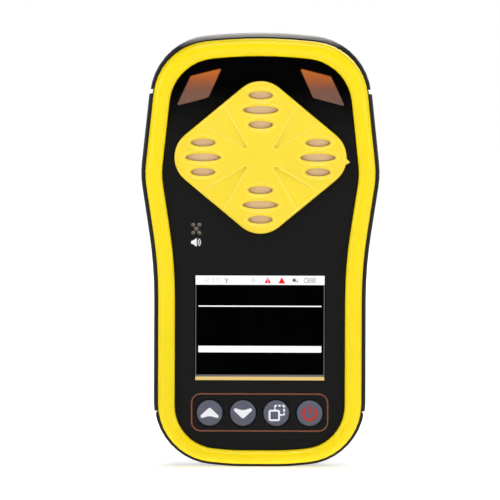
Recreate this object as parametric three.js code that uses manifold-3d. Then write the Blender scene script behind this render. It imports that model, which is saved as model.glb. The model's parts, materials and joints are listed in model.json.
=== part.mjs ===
// Portable four-gas detector, upright, front towards -Y, +Z up, millimetres.
// The origin is at the middle of the footprint, on the surface that the detector stands on. Heights
// in this file count from the lower edge of the case outline; addPiece adds the sole of the bumper.
// Outlines are drawn in the XZ plane and given their depth along Y.

import * as THREE from 'three';
import { mergeVertices } from 'three/addons/utils/BufferGeometryUtils.js';
import Module from 'manifold-3d';

const wasm = await Module();
wasm.setup();

// ---------------------------------------------------------------- driving dimensions

const GAP = 0.3;                      // clearance between pieces that touch
const OVERCUT = 1;                    // a cutting tool reaches this far beyond what it cuts
const SOLE_DEPTH = 0.4;               // the bottom bumper reaches this far below the case outline
const SMALLEST_RADIUS = 0.1;          // no outline's corner gets sharper than this

// The case seen from the front: half widths, heights and corner radii of the outermost outline.
const LOW_HALF_WIDTH = 31.9;
const WIDE_HALF_WIDTH = 36.1;
const TOP_HALF_WIDTH = 31.8;
const FOOT_HALF_WIDTH = 8;            // flat part of the bottom edge
const BOTTOM_CORNER_Z = 2.2;
const WAIST_Z = 60.1;
const SHOULDER_Z = 87.5;
const TOP_CORNER_Z = 127.85;
const CROWN_Z = 130.95;
const BOTTOM_CORNER_RADIUS = 18.6;
const TOP_CORNER_RADIUS = 19;
const WAIST_RADIUS = 130;
const SHOULDER_RADIUS = 27;
const FOOT_RADIUS = 60;
const CROWN_RADIUS = 140;

// Depth stations, from the front crest to the back of the clip.
const CREST_Y = -22;
const PANEL_FRONT_Y = -20;
const PANEL_BACK_Y = -18.8;
const WALL_FRONT_Y = -18.5;
const WALL_BACK_Y = -16.9;
const BEZEL_END_Y = -12.4;
const FLANGE_BACK_Y = -11.3;         // the front shell's black rim between ring and band
const BAND_FRONT_Y = -11;
const BAND_BACK_Y = 6;
const FRONT_SHELL_END_Y = -1.3;
const REAR_SHELL_START_Y = -0.1;
const REAR_INSIDE_Y = 10;
const BODY_BACK_Y = 12;

// How far each layer of the case lies inside the outermost outline.
const BAND_THICKNESS = 1.6;
const BAND_ROUNDING = [[0.35, 0], [0.1, 0.2], [0, 0.6]];   // inset from the outline, distance from the edge
const BUMPER_SIDE_INSET = 0.2;
const SHELL_INSET = BAND_THICKNESS + GAP;
const SHELL_WALL = 2;
const SHOULDER_THICKNESS = 1;         // the shell's step behind the ring
const SHELL_NOSE = { share: 0.7, length: 1.2 };  // the front wall's bevelled rim, under the ring
const BAND_SPLIT_TOP_Z = [111.8, 113.2];
const BAND_SPLIT_BOTTOM_Z = [15.3, 16.3];

// The yellow ring runs between two outlines; ringOutline(0) is its outer edge, ringOutline(1) its inner.
const RING_OUTER = { side: 1.4, top: 1.75, bottom: 0.9 };
const RING_WIDTH = { side: 5, top: 5.3, bottom: 4.1 };
const RING_CORNER_GROWTH = 2.1;       // the ring's inner top corners are rounder by this than its outer ones
const RING_OUTER_EDGE_Y = -19.3;      // where the ring's crown meets its outer and inner side walls
const RING_INNER_EDGE_Y = -20.2;
const RING_SEAT = 0.36;               // width of the ring's side wall, as a share of the ring's width
const SHELL_UNDER_RING = 0.43;        // outside and inside of the front shell, as shares of the ring's width
const SHELL_INSIDE_RING = 0.85;
const FLANGE_REACH = 0.45;           // how far the front shell's rim stands out beyond the ring

// Sensor cover: a diamond with rounded corners.
const COVER_Z = 92.9;
const COVER_HALF_WIDTH = 30.75;
const COVER_HALF_HEIGHT = 25.45;
const COVER_CORNER_RADIUS = 8.7;
const COVER_RIM_RADIUS = 0.8;
const COVER_TAB = { frontY: -21.2, corners: [[24.6, -2.6], [26.8, -1.4], [25, 0.6]] };
const COVER_BACK_Y = -19.6;
const COVER_TOP_FLOOR_Y = -20.6;      // bottom of the filter pockets
const WEDGE_TIP = { x: 2.6, z: 1.2 };  // corners of one wedge, from the cover's centre
const WEDGE_LOW = { x: 18.2, z: 10.5 };
const WEDGE_HIGH = { x: 11.1, z: 15.9 };
const WEDGE_RADIUS = 0.7;
const WEDGE_DEPTH = 0.8;              // at the tip; the floor rises to nothing at the wide end
const WEDGE_WALL_SLOPE = 0.5;
const GROUP_RISE = 14.2;              // slot groups above and below the cover's centre
const GROUP_REACH = 17.2;             // slot groups left and right of it
const SLOT_PITCH = 4.4;
const SLOT_MIDDLE = { halfWidth: 5.25, halfHeight: 1.2 };
const SLOT_OUTER = { halfWidth: 3.65, halfHeight: 1.2 };
const SLOT_BEVEL = { reach: 0.9, depth: 0.8 };
const POCKET_RADIUS = 8;              // each pocket holds a filter behind its slots
const FILTER_RADIUS = 7.6;
const FILTER_FRONT_Y = -20.3;
const HOOK_BACK_Y = -15.8;            // the cover's snap hooks reach this far into the case

const CELL_DIAMETER = 20.4;
const CELL_LENGTH = 16.6;
const CELL_FRONT_Y = -16.5;
const CELL_NECK = { radius: 7.8, length: 1 };
const CELL_WINDOW_RADIUS = 7;         // holes in the shell and the gasket in front of each cell

const SCREEN = { halfWidth: 19.35, bottom: 26, top: 57.4 };
const KEY_X = { key_up: -15, key_down: -5, key_menu: 5, key_power: 15 };
const KEY_Z = 16.2;
const KEY_RADIUS = 3.95;
const KEY_DOME = [[1.6, -0.55], [3.1, -0.4], [3.7, -0.2], [KEY_RADIUS, 0.2]];  // radius, rise over the panel
const KEY_FLANGE = { radius: 4.6, backY: -15.7 };
const KEY_STEM = { radius: 2.2, endY: -13.2 };
const PILL = { radius: 1.9, frontY: -12.9, backY: -12.1 };
const MAT = { halfWidth: 19.4, halfHeight: 5.1, radius: 1.5 };
const MAT_FRONT_Y = -14.5;
const MAT_WELL_RADIUS = 3.2;

const LCD_BORDER = 1.7;               // the display glass is larger than the lens by this all round
const LCD_BACK_Y = -16.5;
const MAIN_BOARD_Y = [-11, -9.4];
const GRILLE = { x: -19.2, z: 71.4, reachX: 0.9, reachZ: 1.2, holeRadius: 0.65 };
const GRILLE_MESH = { radius: 2.7, frontY: -19.3, backY: -18.9 };
const BUZZER = { radius: 4.8, frontY: -16.2 };

const CLIP_AXIS_Y = 16.9;
const CLIP_AXIS_Z = 94;

// ---------------------------------------------------------------- outlines in the XZ plane

// Rounds each corner of a polygon that runs anticlockwise. A corner is { x, z, radius, steps }.
function roundedOutline(corners) {
  const points = [];
  corners.forEach((corner, index) => {
    const here = new THREE.Vector2(corner.x, corner.z);
    const before = corners[(index + corners.length - 1) % corners.length];
    const after = corners[(index + 1) % corners.length];
    const toBefore = new THREE.Vector2(before.x, before.z).sub(here).normalize();
    const toAfter = new THREE.Vector2(after.x, after.z).sub(here).normalize();
    const halfAngle = Math.acos(THREE.MathUtils.clamp(toBefore.dot(toAfter), -1, 1)) / 2;
    const centreDistance = corner.radius / Math.sin(halfAngle);
    const inward = toBefore.clone().add(toAfter).normalize();
    const centre = here.clone().addScaledVector(inward, centreDistance);
    const tangentLength = corner.radius / Math.tan(halfAngle);
    const start = here.clone().addScaledVector(toBefore, tangentLength).sub(centre);
    const end = here.clone().addScaledVector(toAfter, tangentLength).sub(centre);
    const sweep = Math.atan2(start.x * end.y - start.y * end.x, start.dot(end));
    for (let step = 0; step <= corner.steps; step += 1) {
      const turned = start.clone().rotateAround(new THREE.Vector2(), (sweep * step) / corner.steps);
      points.push(turned.add(centre));
    }
  });
  return points;
}

// Moves every side of a polygon inwards by its own inset. Side i runs from corner i to corner i + 1.
function insetCorners(corners, insets) {
  const lines = corners.map((corner, index) => {
    const next = corners[(index + 1) % corners.length];
    const along = new THREE.Vector2(next.x - corner.x, next.z - corner.z).normalize();
    const inward = new THREE.Vector2(-along.y, along.x);
    const through = new THREE.Vector2(corner.x, corner.z).addScaledVector(inward, insets[index]);
    return { through, along };
  });
  return corners.map((corner, index) => {
    const sideBefore = (index + corners.length - 1) % corners.length;
    const first = lines[sideBefore];
    const second = lines[index];
    const offset = second.through.clone().sub(first.through);
    const cross = first.along.x * second.along.y - first.along.y * second.along.x;
    const distance = (offset.x * second.along.y - offset.y * second.along.x) / cross;
    const moved = first.through.clone().addScaledVector(first.along, distance);
    const shrink = (insets[sideBefore] + insets[index]) / 2;
    const radius = cross > 0 ? Math.max(corner.radius - shrink, SMALLEST_RADIUS) : corner.radius + shrink;
    return { x: moved.x, z: moved.y, radius, steps: corner.steps };
  });
}

// The case outline, inset by different amounts at the sides, the top and the bottom.
function bodyOutline(side, top, bottom, topCornerRadius = TOP_CORNER_RADIUS) {
  const right = [
    { x: FOOT_HALF_WIDTH, z: 0, radius: FOOT_RADIUS, steps: 2 },
    { x: LOW_HALF_WIDTH, z: BOTTOM_CORNER_Z, radius: BOTTOM_CORNER_RADIUS, steps: 10 },
    { x: LOW_HALF_WIDTH, z: WAIST_Z, radius: WAIST_RADIUS, steps: 4 },
    { x: WIDE_HALF_WIDTH, z: SHOULDER_Z, radius: SHOULDER_RADIUS, steps: 3 },
    { x: TOP_HALF_WIDTH, z: TOP_CORNER_Z, radius: topCornerRadius, steps: 9 },
  ];
  const crown = { x: 0, z: CROWN_Z, radius: CROWN_RADIUS, steps: 6 };
  const left = right.map((corner) => ({ ...corner, x: -corner.x })).reverse();
  const rightInsets = [bottom, side, side, side, top];
  const leftInsets = [top, side, side, side, bottom, bottom];
  return roundedOutline(insetCorners([...right, crown, ...left], [...rightInsets, ...leftInsets]));
}

function evenOutline(inset) {
  return bodyOutline(inset, inset, inset);
}

function ringOutline(share, extra = 0) {
  return bodyOutline(
    RING_OUTER.side + RING_WIDTH.side * share + extra,
    RING_OUTER.top + RING_WIDTH.top * share + extra,
    RING_OUTER.bottom + RING_WIDTH.bottom * share + extra,
    TOP_CORNER_RADIUS + RING_CORNER_GROWTH * share,
  );
}

function coverOutline(inset) {
  const corner = (x, z) => ({ x, z: COVER_Z + z, radius: COVER_CORNER_RADIUS, steps: 9 });
  const corners = [
    corner(COVER_HALF_WIDTH, 0),
    corner(0, COVER_HALF_HEIGHT),
    corner(-COVER_HALF_WIDTH, 0),
    corner(0, -COVER_HALF_HEIGHT),
  ];
  return roundedOutline(insetCorners(corners, [inset, inset, inset, inset]));
}

function roundedRectangle(x0, x1, z0, z1, radius, steps = 3) {
  return roundedOutline([
    { x: x0, z: z0, radius, steps },
    { x: x1, z: z0, radius, steps },
    { x: x1, z: z1, radius, steps },
    { x: x0, z: z1, radius, steps },
  ]);
}

function ellipseOutline(x, z, halfWidth, halfHeight, steps) {
  return Array.from({ length: steps }, (_, index) => {
    const angle = (2 * Math.PI * index) / steps;
    return new THREE.Vector2(x + halfWidth * Math.cos(angle), z + halfHeight * Math.sin(angle));
  });
}

function circleOutline(x, z, radius, steps = 20) {
  return ellipseOutline(x, z, radius, radius, steps);
}

// ---------------------------------------------------------------- solids

// Joins layers of equal point count into one closed surface. A layer is { outline, y }.
// A closed loft joins its last layer to its first, as a ring; otherwise both ends get a flat cap.
function loft(layers, closed = false) {
  const count = layers[0].outline.length;
  const positions = layers.flatMap(({ outline, y }) => outline.flatMap((point) => [point.x, y, point.y]));
  const triangles = [];
  const spans = closed ? layers.length : layers.length - 1;
  for (let layer = 0; layer < spans; layer += 1) {
    const near = layer * count;
    const far = ((layer + 1) % layers.length) * count;
    for (let index = 0; index < count; index += 1) {
      const next = (index + 1) % count;
      triangles.push(near + index, near + next, far + next, near + index, far + next, far + index);
    }
  }
  if (!closed) {
    const last = (layers.length - 1) * count;
    THREE.ShapeUtils.triangulateShape(layers[0].outline, []).forEach(([a, b, c]) => triangles.push(c, b, a));
    THREE.ShapeUtils.triangulateShape(layers.at(-1).outline, [])
      .forEach(([a, b, c]) => triangles.push(last + a, last + b, last + c));
  }
  const geometry = new THREE.BufferGeometry();
  geometry.setAttribute('position', new THREE.Float32BufferAttribute(positions, 3));
  geometry.setIndex(triangles);
  return facingOut(geometry);
}

// Turns a closed surface right side out, judged by the sign of its volume.
function facingOut(geometry) {
  const position = geometry.getAttribute('position');
  const index = geometry.getIndex();
  const [a, b, c] = [new THREE.Vector3(), new THREE.Vector3(), new THREE.Vector3()];
  let volume = 0;
  for (let corner = 0; corner < index.count; corner += 3) {
    a.fromBufferAttribute(position, index.getX(corner));
    b.fromBufferAttribute(position, index.getX(corner + 1));
    c.fromBufferAttribute(position, index.getX(corner + 2));
    volume += a.dot(b.cross(c));
  }
  if (volume < 0) {
    index.array.reverse();
  }
  return geometry;
}

function plate(outline, y0, y1) {
  return loft([{ outline, y: y0 }, { outline, y: y1 }]);
}

// A straight body along X whose section is an outline of (y, z) points.
function barAlongX(section, x0, x1) {
  const turned = plate(section, x0, x1);
  const position = turned.getAttribute('position');
  for (let index = 0; index < position.count; index += 1) {
    position.setXYZ(index, position.getY(index), position.getX(index), position.getZ(index));
  }
  return facingOut(turned);
}

function boxBetween([x0, x1], [y0, y1], [z0, z1]) {
  const box = new THREE.BoxGeometry(x1 - x0, y1 - y0, z1 - z0);
  return box.translate((x0 + x1) / 2, (y0 + y1) / 2, (z0 + z1) / 2);
}

function discAlongY(x, z, radius, y0, y1, steps = 20) {
  return plate(circleOutline(x, z, radius, steps), y0, y1);
}

function rodAlongX(y, z, radius, x0, x1, steps = 16) {
  return barAlongX(circleOutline(y, z, radius, steps), x0, x1);
}

function toSolid(geometry) {
  const bare = geometry.clone();
  bare.deleteAttribute('normal');
  bare.deleteAttribute('uv');
  const merged = mergeVertices(bare, 1e-5);
  return new wasm.Manifold(new wasm.Mesh({
    numProp: 3,
    vertProperties: new Float32Array(merged.getAttribute('position').array),
    triVerts: new Uint32Array(merged.getIndex().array),
  }));
}

function toGeometry(solid) {
  const mesh = solid.getMesh();
  const geometry = new THREE.BufferGeometry();
  geometry.setAttribute('position', new THREE.BufferAttribute(mesh.vertProperties, 3));
  geometry.setIndex(new THREE.BufferAttribute(mesh.triVerts, 1));
  return geometry;
}

function join(...geometries) {
  return toGeometry(geometries.map(toSolid).reduce((whole, piece) => whole.add(piece)));
}

function cut(geometry, ...tools) {
  return toGeometry(tools.map(toSolid).reduce((whole, tool) => whole.subtract(tool), toSolid(geometry)));
}

function common(geometry, tool) {
  return toGeometry(toSolid(geometry).intersect(toSolid(tool)));
}

function mirrored(geometry) {
  const copy = geometry.clone();
  copy.scale(-1, 1, 1);
  return facingOut(copy);
}

// ---------------------------------------------------------------- the object

const detector = new THREE.Group();
detector.name = 'portable_gas_detector';

// A look is { color, roughness, metalness }.
function addPiece(name, geometry, look) {
  const piece = new THREE.Mesh(geometry.translate(0, 0, SOLE_DEPTH), new THREE.MeshStandardMaterial(look));
  piece.name = name;
  detector.add(piece);
}

const BLACK_PLASTIC = { color: 0x1c1c1f, roughness: 0.55, metalness: 0 };
const DARK_RUBBER = { color: 0x3c3a44, roughness: 0.75, metalness: 0 };
const GREY_RUBBER = { color: 0x8d8d88, roughness: 0.8, metalness: 0 };
const YELLOW_RUBBER = { color: 0xfde828, roughness: 0.5, metalness: 0 };
const YELLOW_PLASTIC = { color: 0xfce246, roughness: 0.45, metalness: 0 };
const GLOSS_BLACK = { color: 0x111111, roughness: 0.12, metalness: 0 };
const CLEAR_WINDOW = { color: 0x202428, roughness: 0.05, metalness: 0 };
const AMBER_WINDOW = { color: 0xcd6e28, roughness: 0.15, metalness: 0 };
const FILTER_FELT = { color: 0xdcb98c, roughness: 0.95, metalness: 0 };
const KEY_PLASTIC = { color: 0x5f6273, roughness: 0.5, metalness: 0 };
const CARBON = { color: 0x141414, roughness: 0.9, metalness: 0 };
const BOARD_GREEN = { color: 0x1d5c37, roughness: 0.5, metalness: 0 };
const DISPLAY_GLASS = { color: 0x0c0f14, roughness: 0.1, metalness: 0 };
const WHITE_PLASTIC = { color: 0xe9e9e4, roughness: 0.5, metalness: 0 };
const CELL_PLASTIC = { color: 0xd9d7cf, roughness: 0.5, metalness: 0 };
const BRIGHT_STEEL = { color: 0xb9bbbe, roughness: 0.3, metalness: 1 };
const DARK_STEEL = { color: 0x3a3b3d, roughness: 0.4, metalness: 1 };
const BATTERY_WRAP = { color: 0x2f5fa8, roughness: 0.4, metalness: 0 };

const CELL_PLACES = {
  sensor_oxygen: { place: 'top', x: 0, z: COVER_Z + GROUP_RISE },
  sensor_combustible: { place: 'bottom', x: 0, z: COVER_Z - GROUP_RISE },
  sensor_carbon_monoxide: { place: 'left', x: -GROUP_REACH, z: COVER_Z },
  sensor_hydrogen_sulfide: { place: 'right', x: GROUP_REACH, z: COVER_Z },
};
const CELLS = Object.entries(CELL_PLACES);

// ---------------------------------------------------------------- front of the case

const POSTS = [
  { name: 'upper_left', x: -27.6, z: 103.8 },
  { name: 'upper_right', x: 27.6, z: 103.8 },
  { name: 'lower_left', x: -23, z: 13.4 },
  { name: 'lower_right', x: 23, z: 13.4 },
];
const FRONT_POST_RADIUS = 3.1;
const REAR_POST_RADIUS = 3.8;
const SCREW_SHANK_RADIUS = 1.2;
const SCREW_HEAD_RADIUS = 2.6;
const SCREW_SEAT_Y = 5;
const SCREW_TIP_Y = -8;

const ALARM_WINDOW = [
  { x: -11.8, z: 119.5, radius: 0.3, steps: 2 },
  { x: -21, z: 117.2, radius: 0.2, steps: 2 },
  { x: -25.2, z: 108.3, radius: 0.3, steps: 2 },
  { x: -15.7, z: 110.8, radius: 0.2, steps: 2 },
];
const ALARM_FLANGE = { reach: 1.2, thickness: 1 };
const ALARM_MIDDLE = { x: 18.5, z: 114 };

const PORT_Z = [32.5, 42.5];
const PORT_Y = [-9.6, -5.4];
const PORT_INNER_X = 25;
const FLAP_Z = [30.3, 44.7];
const FLAP_Y = [-9.9, -3];
const FLAP_AXIS_X = 31;
const FLAP_RADIUS = 0.8;
const FLAP_PIN = { radius: 0.42, z: [29.5, 45.5] };
const FLAP_PLUG = { x: [29, 30.5], y: [-8.8, -6], z: [33, 42] };
const RAIL_SPAN_X = [28, 33];

const HOOK_WIDTH = 4;
const HOOK_THICKNESS = 1.2;
const HOOK_INSET = 3;
const HOOK_BARB = 0.5;
const HOOK_PLAY = 0.4;                // room round a hook in the shell and the gasket

function alarmOutline(inset) {
  return roundedOutline(insetCorners(ALARM_WINDOW, [inset, inset, inset, inset]));
}

function screenOutline(grow) {
  const { halfWidth, bottom, top } = SCREEN;
  return roundedRectangle(-halfWidth - grow, halfWidth + grow, bottom - grow, top + grow, 0.6, 2);
}

// A block that lies along one edge of the diamond cover, at the middle of that edge.
function blockOnCoverEdge(signX, signZ, inset, width, thickness, y0, y1) {
  const edgeAngle = Math.atan2(COVER_HALF_HEIGHT, COVER_HALF_WIDTH);
  const block = new THREE.BoxGeometry(width, y1 - y0, thickness);
  block.rotateY(signX * signZ * edgeAngle);
  const x = signX * (COVER_HALF_WIDTH / 2 - inset * Math.sin(edgeAngle));
  const z = signZ * (COVER_HALF_HEIGHT / 2 - inset * Math.cos(edgeAngle));
  return block.translate(x, (y0 + y1) / 2, COVER_Z + z);
}

function onEachCoverEdge(make) {
  return [[1, 1], [-1, 1], [-1, -1], [1, -1]].map(([signX, signZ]) => make(signX, signZ));
}

function makeFrontShell() {
  const shoulderY = BEZEL_END_Y + GAP;
  const outside = loft([
    { outline: ringOutline(SHELL_NOSE.share), y: WALL_FRONT_Y },
    { outline: ringOutline(SHELL_UNDER_RING), y: WALL_FRONT_Y + SHELL_NOSE.length },
    { outline: ringOutline(SHELL_UNDER_RING), y: shoulderY },
    { outline: ringOutline(0, -FLANGE_REACH), y: shoulderY },
    { outline: ringOutline(0, -FLANGE_REACH), y: FLANGE_BACK_Y },
    { outline: evenOutline(SHELL_INSET), y: FLANGE_BACK_Y },
    { outline: evenOutline(SHELL_INSET), y: FRONT_SHELL_END_Y },
  ]);
  const inside = loft([
    { outline: ringOutline(SHELL_INSIDE_RING), y: WALL_BACK_Y },
    { outline: ringOutline(SHELL_INSIDE_RING), y: shoulderY + SHOULDER_THICKNESS },
    { outline: evenOutline(SHELL_INSET + SHELL_WALL), y: shoulderY + SHOULDER_THICKNESS },
    { outline: evenOutline(SHELL_INSET + SHELL_WALL), y: FRONT_SHELL_END_Y + OVERCUT },
  ]);
  const wallCut = [WALL_FRONT_Y - OVERCUT, WALL_BACK_Y + OVERCUT];
  const openings = [
    ...CELLS.map(([, { x, z }]) => discAlongY(x, z, CELL_WINDOW_RADIUS, ...wallCut)),
    ...Object.values(KEY_X).map((x) => discAlongY(x, KEY_Z, KEY_RADIUS + GAP, ...wallCut)),
    ...onEachCoverEdge((signX, signZ) => (
      blockOnCoverEdge(signX, signZ, HOOK_INSET - HOOK_BARB / 2, HOOK_WIDTH + 2 * HOOK_PLAY,
        HOOK_THICKNESS + 4 * HOOK_PLAY, ...wallCut))),
    plate(screenOutline(LCD_BORDER + HOOK_PLAY), ...wallCut),
    plate(alarmOutline(-GAP), ...wallCut),
    mirrored(plate(alarmOutline(-GAP), ...wallCut)),
    discAlongY(GRILLE.x, GRILLE.z, GRILLE_MESH.radius + GAP, ...wallCut),
    boxBetween([PORT_INNER_X, LOW_HALF_WIDTH], PORT_Y, PORT_Z),
  ];
  const shell = cut(outside, inside);
  const posts = POSTS.map(({ x, z }) => (
    discAlongY(x, z, FRONT_POST_RADIUS, WALL_BACK_Y - OVERCUT / 2, FRONT_SHELL_END_Y)));
  const pilots = POSTS.map(({ x, z }) => (
    discAlongY(x, z, SCREW_SHANK_RADIUS + GAP, SCREW_TIP_Y - 1, FRONT_SHELL_END_Y + OVERCUT, 16)));
  return cut(join(shell, ...posts), ...openings, ...pilots);
}

// The yellow ring: one closed section that follows the case outline. Its front is a rounded crown
// that falls further back on the outside than on the inside, where it meets the panel.
function makeBezel() {
  const steps = 6;
  const quarter = Array.from({ length: steps + 1 }, (_, step) => (Math.PI / 2) * (step / steps));
  const outerHalf = quarter.map((angle) => (
    [(1 - Math.cos(angle)) / 2, THREE.MathUtils.lerp(RING_OUTER_EDGE_Y, CREST_Y, Math.sin(angle))]));
  const innerHalf = quarter.slice(1).map((angle) => (
    [(1 + Math.sin(angle)) / 2, THREE.MathUtils.lerp(RING_INNER_EDGE_Y, CREST_Y, Math.cos(angle))]));
  const section = [
    [0, BEZEL_END_Y], ...outerHalf, ...innerHalf,
    [1, PANEL_BACK_Y], [RING_SEAT, PANEL_BACK_Y], [RING_SEAT, BEZEL_END_Y],
  ];
  return loft(section.map(([share, y]) => ({ outline: ringOutline(share), y })), true);
}

function makeFacePanel() {
  const through = [PANEL_FRONT_Y - OVERCUT, PANEL_BACK_Y + OVERCUT];
  const holes = [
    plate(coverOutline(-GAP), ...through),
    plate(screenOutline(GAP), ...through),
    plate(alarmOutline(-GAP), ...through),
    mirrored(plate(alarmOutline(-GAP), ...through)),
    ...Object.values(KEY_X).map((x) => discAlongY(x, KEY_Z, KEY_RADIUS + GAP, ...through)),
    ...makeGrilleHoles(through),
    discAlongY(GRILLE.x, GRILLE.z, GRILLE_MESH.radius + GAP, GRILLE_MESH.frontY - GAP / 3, through[1]),
  ];
  return cut(plate(ringOutline(1, GAP), PANEL_FRONT_Y, PANEL_BACK_Y), ...holes);
}

function makeGrilleHoles(through) {
  const { x, z, reachX, reachZ, holeRadius } = GRILLE;
  const spots = [[0, 0], [1, 1], [-1, 1], [-1, -1], [1, -1]];
  return spots.map(([right, up]) => (
    discAlongY(x + right * reachX, z + up * reachZ, holeRadius, ...through, 10)));
}

function makeGrilleMesh() {
  return discAlongY(GRILLE.x, GRILLE.z, GRILLE_MESH.radius, GRILLE_MESH.frontY, GRILLE_MESH.backY, 16);
}

function makeAlarmLens() {
  const flangeY = WALL_BACK_Y + GAP;
  const flange = plate(alarmOutline(-ALARM_FLANGE.reach), flangeY, flangeY + ALARM_FLANGE.thickness);
  return join(plate(alarmOutline(0), PANEL_FRONT_Y, flangeY + ALARM_FLANGE.thickness / 2), flange);
}

function makeSensorCover() {
  const rim = COVER_RIM_RADIUS;
  const rounding = [0, 1, 2, 3, 4].map((step) => {
    const angle = (Math.PI / 2) * (step / 4);
    const outline = coverOutline(rim * (1 - Math.cos(angle)));
    return { outline, y: CREST_Y + rim * (1 - Math.sin(angle)) };
  });
  const body = loft([{ outline: coverOutline(0), y: COVER_BACK_Y }, ...rounding]);
  const tabOutline = COVER_TAB.corners.map(([x, z]) => new THREE.Vector2(x, COVER_Z + z));
  const tab = plate(tabOutline, COVER_TAB.frontY, PANEL_FRONT_Y - GAP);
  const hooks = onEachCoverEdge((signX, signZ) => join(
    blockOnCoverEdge(
      signX, signZ, HOOK_INSET, HOOK_WIDTH, HOOK_THICKNESS, COVER_BACK_Y - OVERCUT / 2, HOOK_BACK_Y,
    ),
    blockOnCoverEdge(
      signX, signZ, HOOK_INSET - HOOK_BARB, HOOK_WIDTH, HOOK_THICKNESS, WALL_BACK_Y + GAP, HOOK_BACK_Y,
    ),
  ));
  const pockets = CELLS.map(([, { x, z }]) => (
    discAlongY(x, z, POCKET_RADIUS, COVER_BACK_Y + OVERCUT, COVER_TOP_FLOOR_Y)));
  const slots = CELLS.flatMap(([, { x, z }]) => makeSlotGroup(x, z));
  return cut(join(body, tab, ...hooks), ...pockets, ...slots, ...makeWedges());
}

// Three lens-shaped slots above one another, each widened towards the front by a small bevel.
function makeSlotGroup(x, z) {
  return [-1, 0, 1].map((row) => {
    const { halfWidth, halfHeight } = row === 0 ? SLOT_MIDDLE : SLOT_OUTER;
    const slot = (grow) => ellipseOutline(x, z + row * SLOT_PITCH, halfWidth + grow, halfHeight + grow, 24);
    return loft([
      { outline: slot(SLOT_BEVEL.reach), y: CREST_Y },
      { outline: slot(0), y: CREST_Y + SLOT_BEVEL.depth },
      { outline: slot(0), y: COVER_TOP_FLOOR_Y + OVERCUT / 2 },
    ]);
  });
}

// Sunken wedges between the slot groups. They widen outwards and stop short of the rim. Their walls
// slope, and the floor climbs from the tip to the wide end, where it meets the cover's front.
function makeWedges() {
  const corners = [WEDGE_TIP, WEDGE_LOW, WEDGE_HIGH].map(({ x, z }) => (
    { x, z: COVER_Z + z, radius: WEDGE_RADIUS, steps: 4 }));
  const outline = (inset) => roundedOutline(insetCorners(corners, [inset, inset, inset]));
  const mould = loft([
    { outline: outline(-WEDGE_WALL_SLOPE), y: CREST_Y - WEDGE_WALL_SLOPE },
    { outline: outline(0), y: CREST_Y },
    { outline: outline(WEDGE_WALL_SLOPE), y: CREST_Y + WEDGE_DEPTH },
  ]);
  const wedge = common(mould, makeWedgeFloor());
  const upsideDown = wedge.clone().scale(1, 1, -1).translate(0, 0, 2 * COVER_Z);
  const lower = facingOut(upsideDown);
  return [wedge, mirrored(wedge), lower, mirrored(lower)];
}

// A large block whose back face is the climbing floor of the upper right wedge.
function makeWedgeFloor() {
  const size = 60;
  const outward = Math.atan2(COVER_HALF_WIDTH, COVER_HALF_HEIGHT);
  const toLow = new THREE.Vector2(WEDGE_LOW.x - WEDGE_TIP.x, WEDGE_LOW.z - WEDGE_TIP.z);
  const length = toLow.dot(new THREE.Vector2(Math.cos(outward), Math.sin(outward)));
  const block = new THREE.BoxGeometry(size, size, size).translate(0, -size / 2, 0);
  block.rotateZ(Math.atan2(-WEDGE_DEPTH, length));
  block.rotateY(-outward);
  return block.translate(WEDGE_TIP.x, CREST_Y + WEDGE_DEPTH, COVER_Z + WEDGE_TIP.z);
}

function makeSensorGasket() {
  const through = [COVER_BACK_Y, WALL_FRONT_Y];
  const sheet = plate(coverOutline(OVERCUT / 2), COVER_BACK_Y + GAP, PANEL_BACK_Y);
  const windows = CELLS.map(([, { x, z }]) => discAlongY(x, z, CELL_WINDOW_RADIUS, ...through));
  const hookSlots = onEachCoverEdge((signX, signZ) => blockOnCoverEdge(
    signX, signZ, HOOK_INSET, HOOK_WIDTH + 2 * HOOK_PLAY, HOOK_THICKNESS + 2 * HOOK_PLAY, ...through,
  ));
  return cut(sheet, ...windows, ...hookSlots);
}

// ---------------------------------------------------------------- keys and keypad

function makeKey(x) {
  const circle = (radius) => circleOutline(x, KEY_Z, radius, 18);
  const dome = KEY_DOME.map(([radius, rise]) => ({ outline: circle(radius), y: PANEL_FRONT_Y + rise }));
  return loft([
    ...dome,
    { outline: circle(KEY_RADIUS), y: WALL_BACK_Y + GAP },
    { outline: circle(KEY_FLANGE.radius), y: WALL_BACK_Y + GAP },
    { outline: circle(KEY_FLANGE.radius), y: KEY_FLANGE.backY },
    { outline: circle(KEY_STEM.radius), y: KEY_FLANGE.backY },
    { outline: circle(KEY_STEM.radius), y: KEY_STEM.endY },
  ]);
}

function makeKeypadMat() {
  const { halfWidth, halfHeight, radius } = MAT;
  const outline = roundedRectangle(-halfWidth, halfWidth, KEY_Z - halfHeight, KEY_Z + halfHeight, radius, 2);
  const block = plate(outline, MAT_FRONT_Y, MAIN_BOARD_Y[0] - GAP);
  return cut(block, ...Object.values(KEY_X).map((x) => (
    discAlongY(x, KEY_Z, MAT_WELL_RADIUS, MAT_FRONT_Y - 1, MAIN_BOARD_Y[0], 16))));
}

// ---------------------------------------------------------------- inside the case

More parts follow.
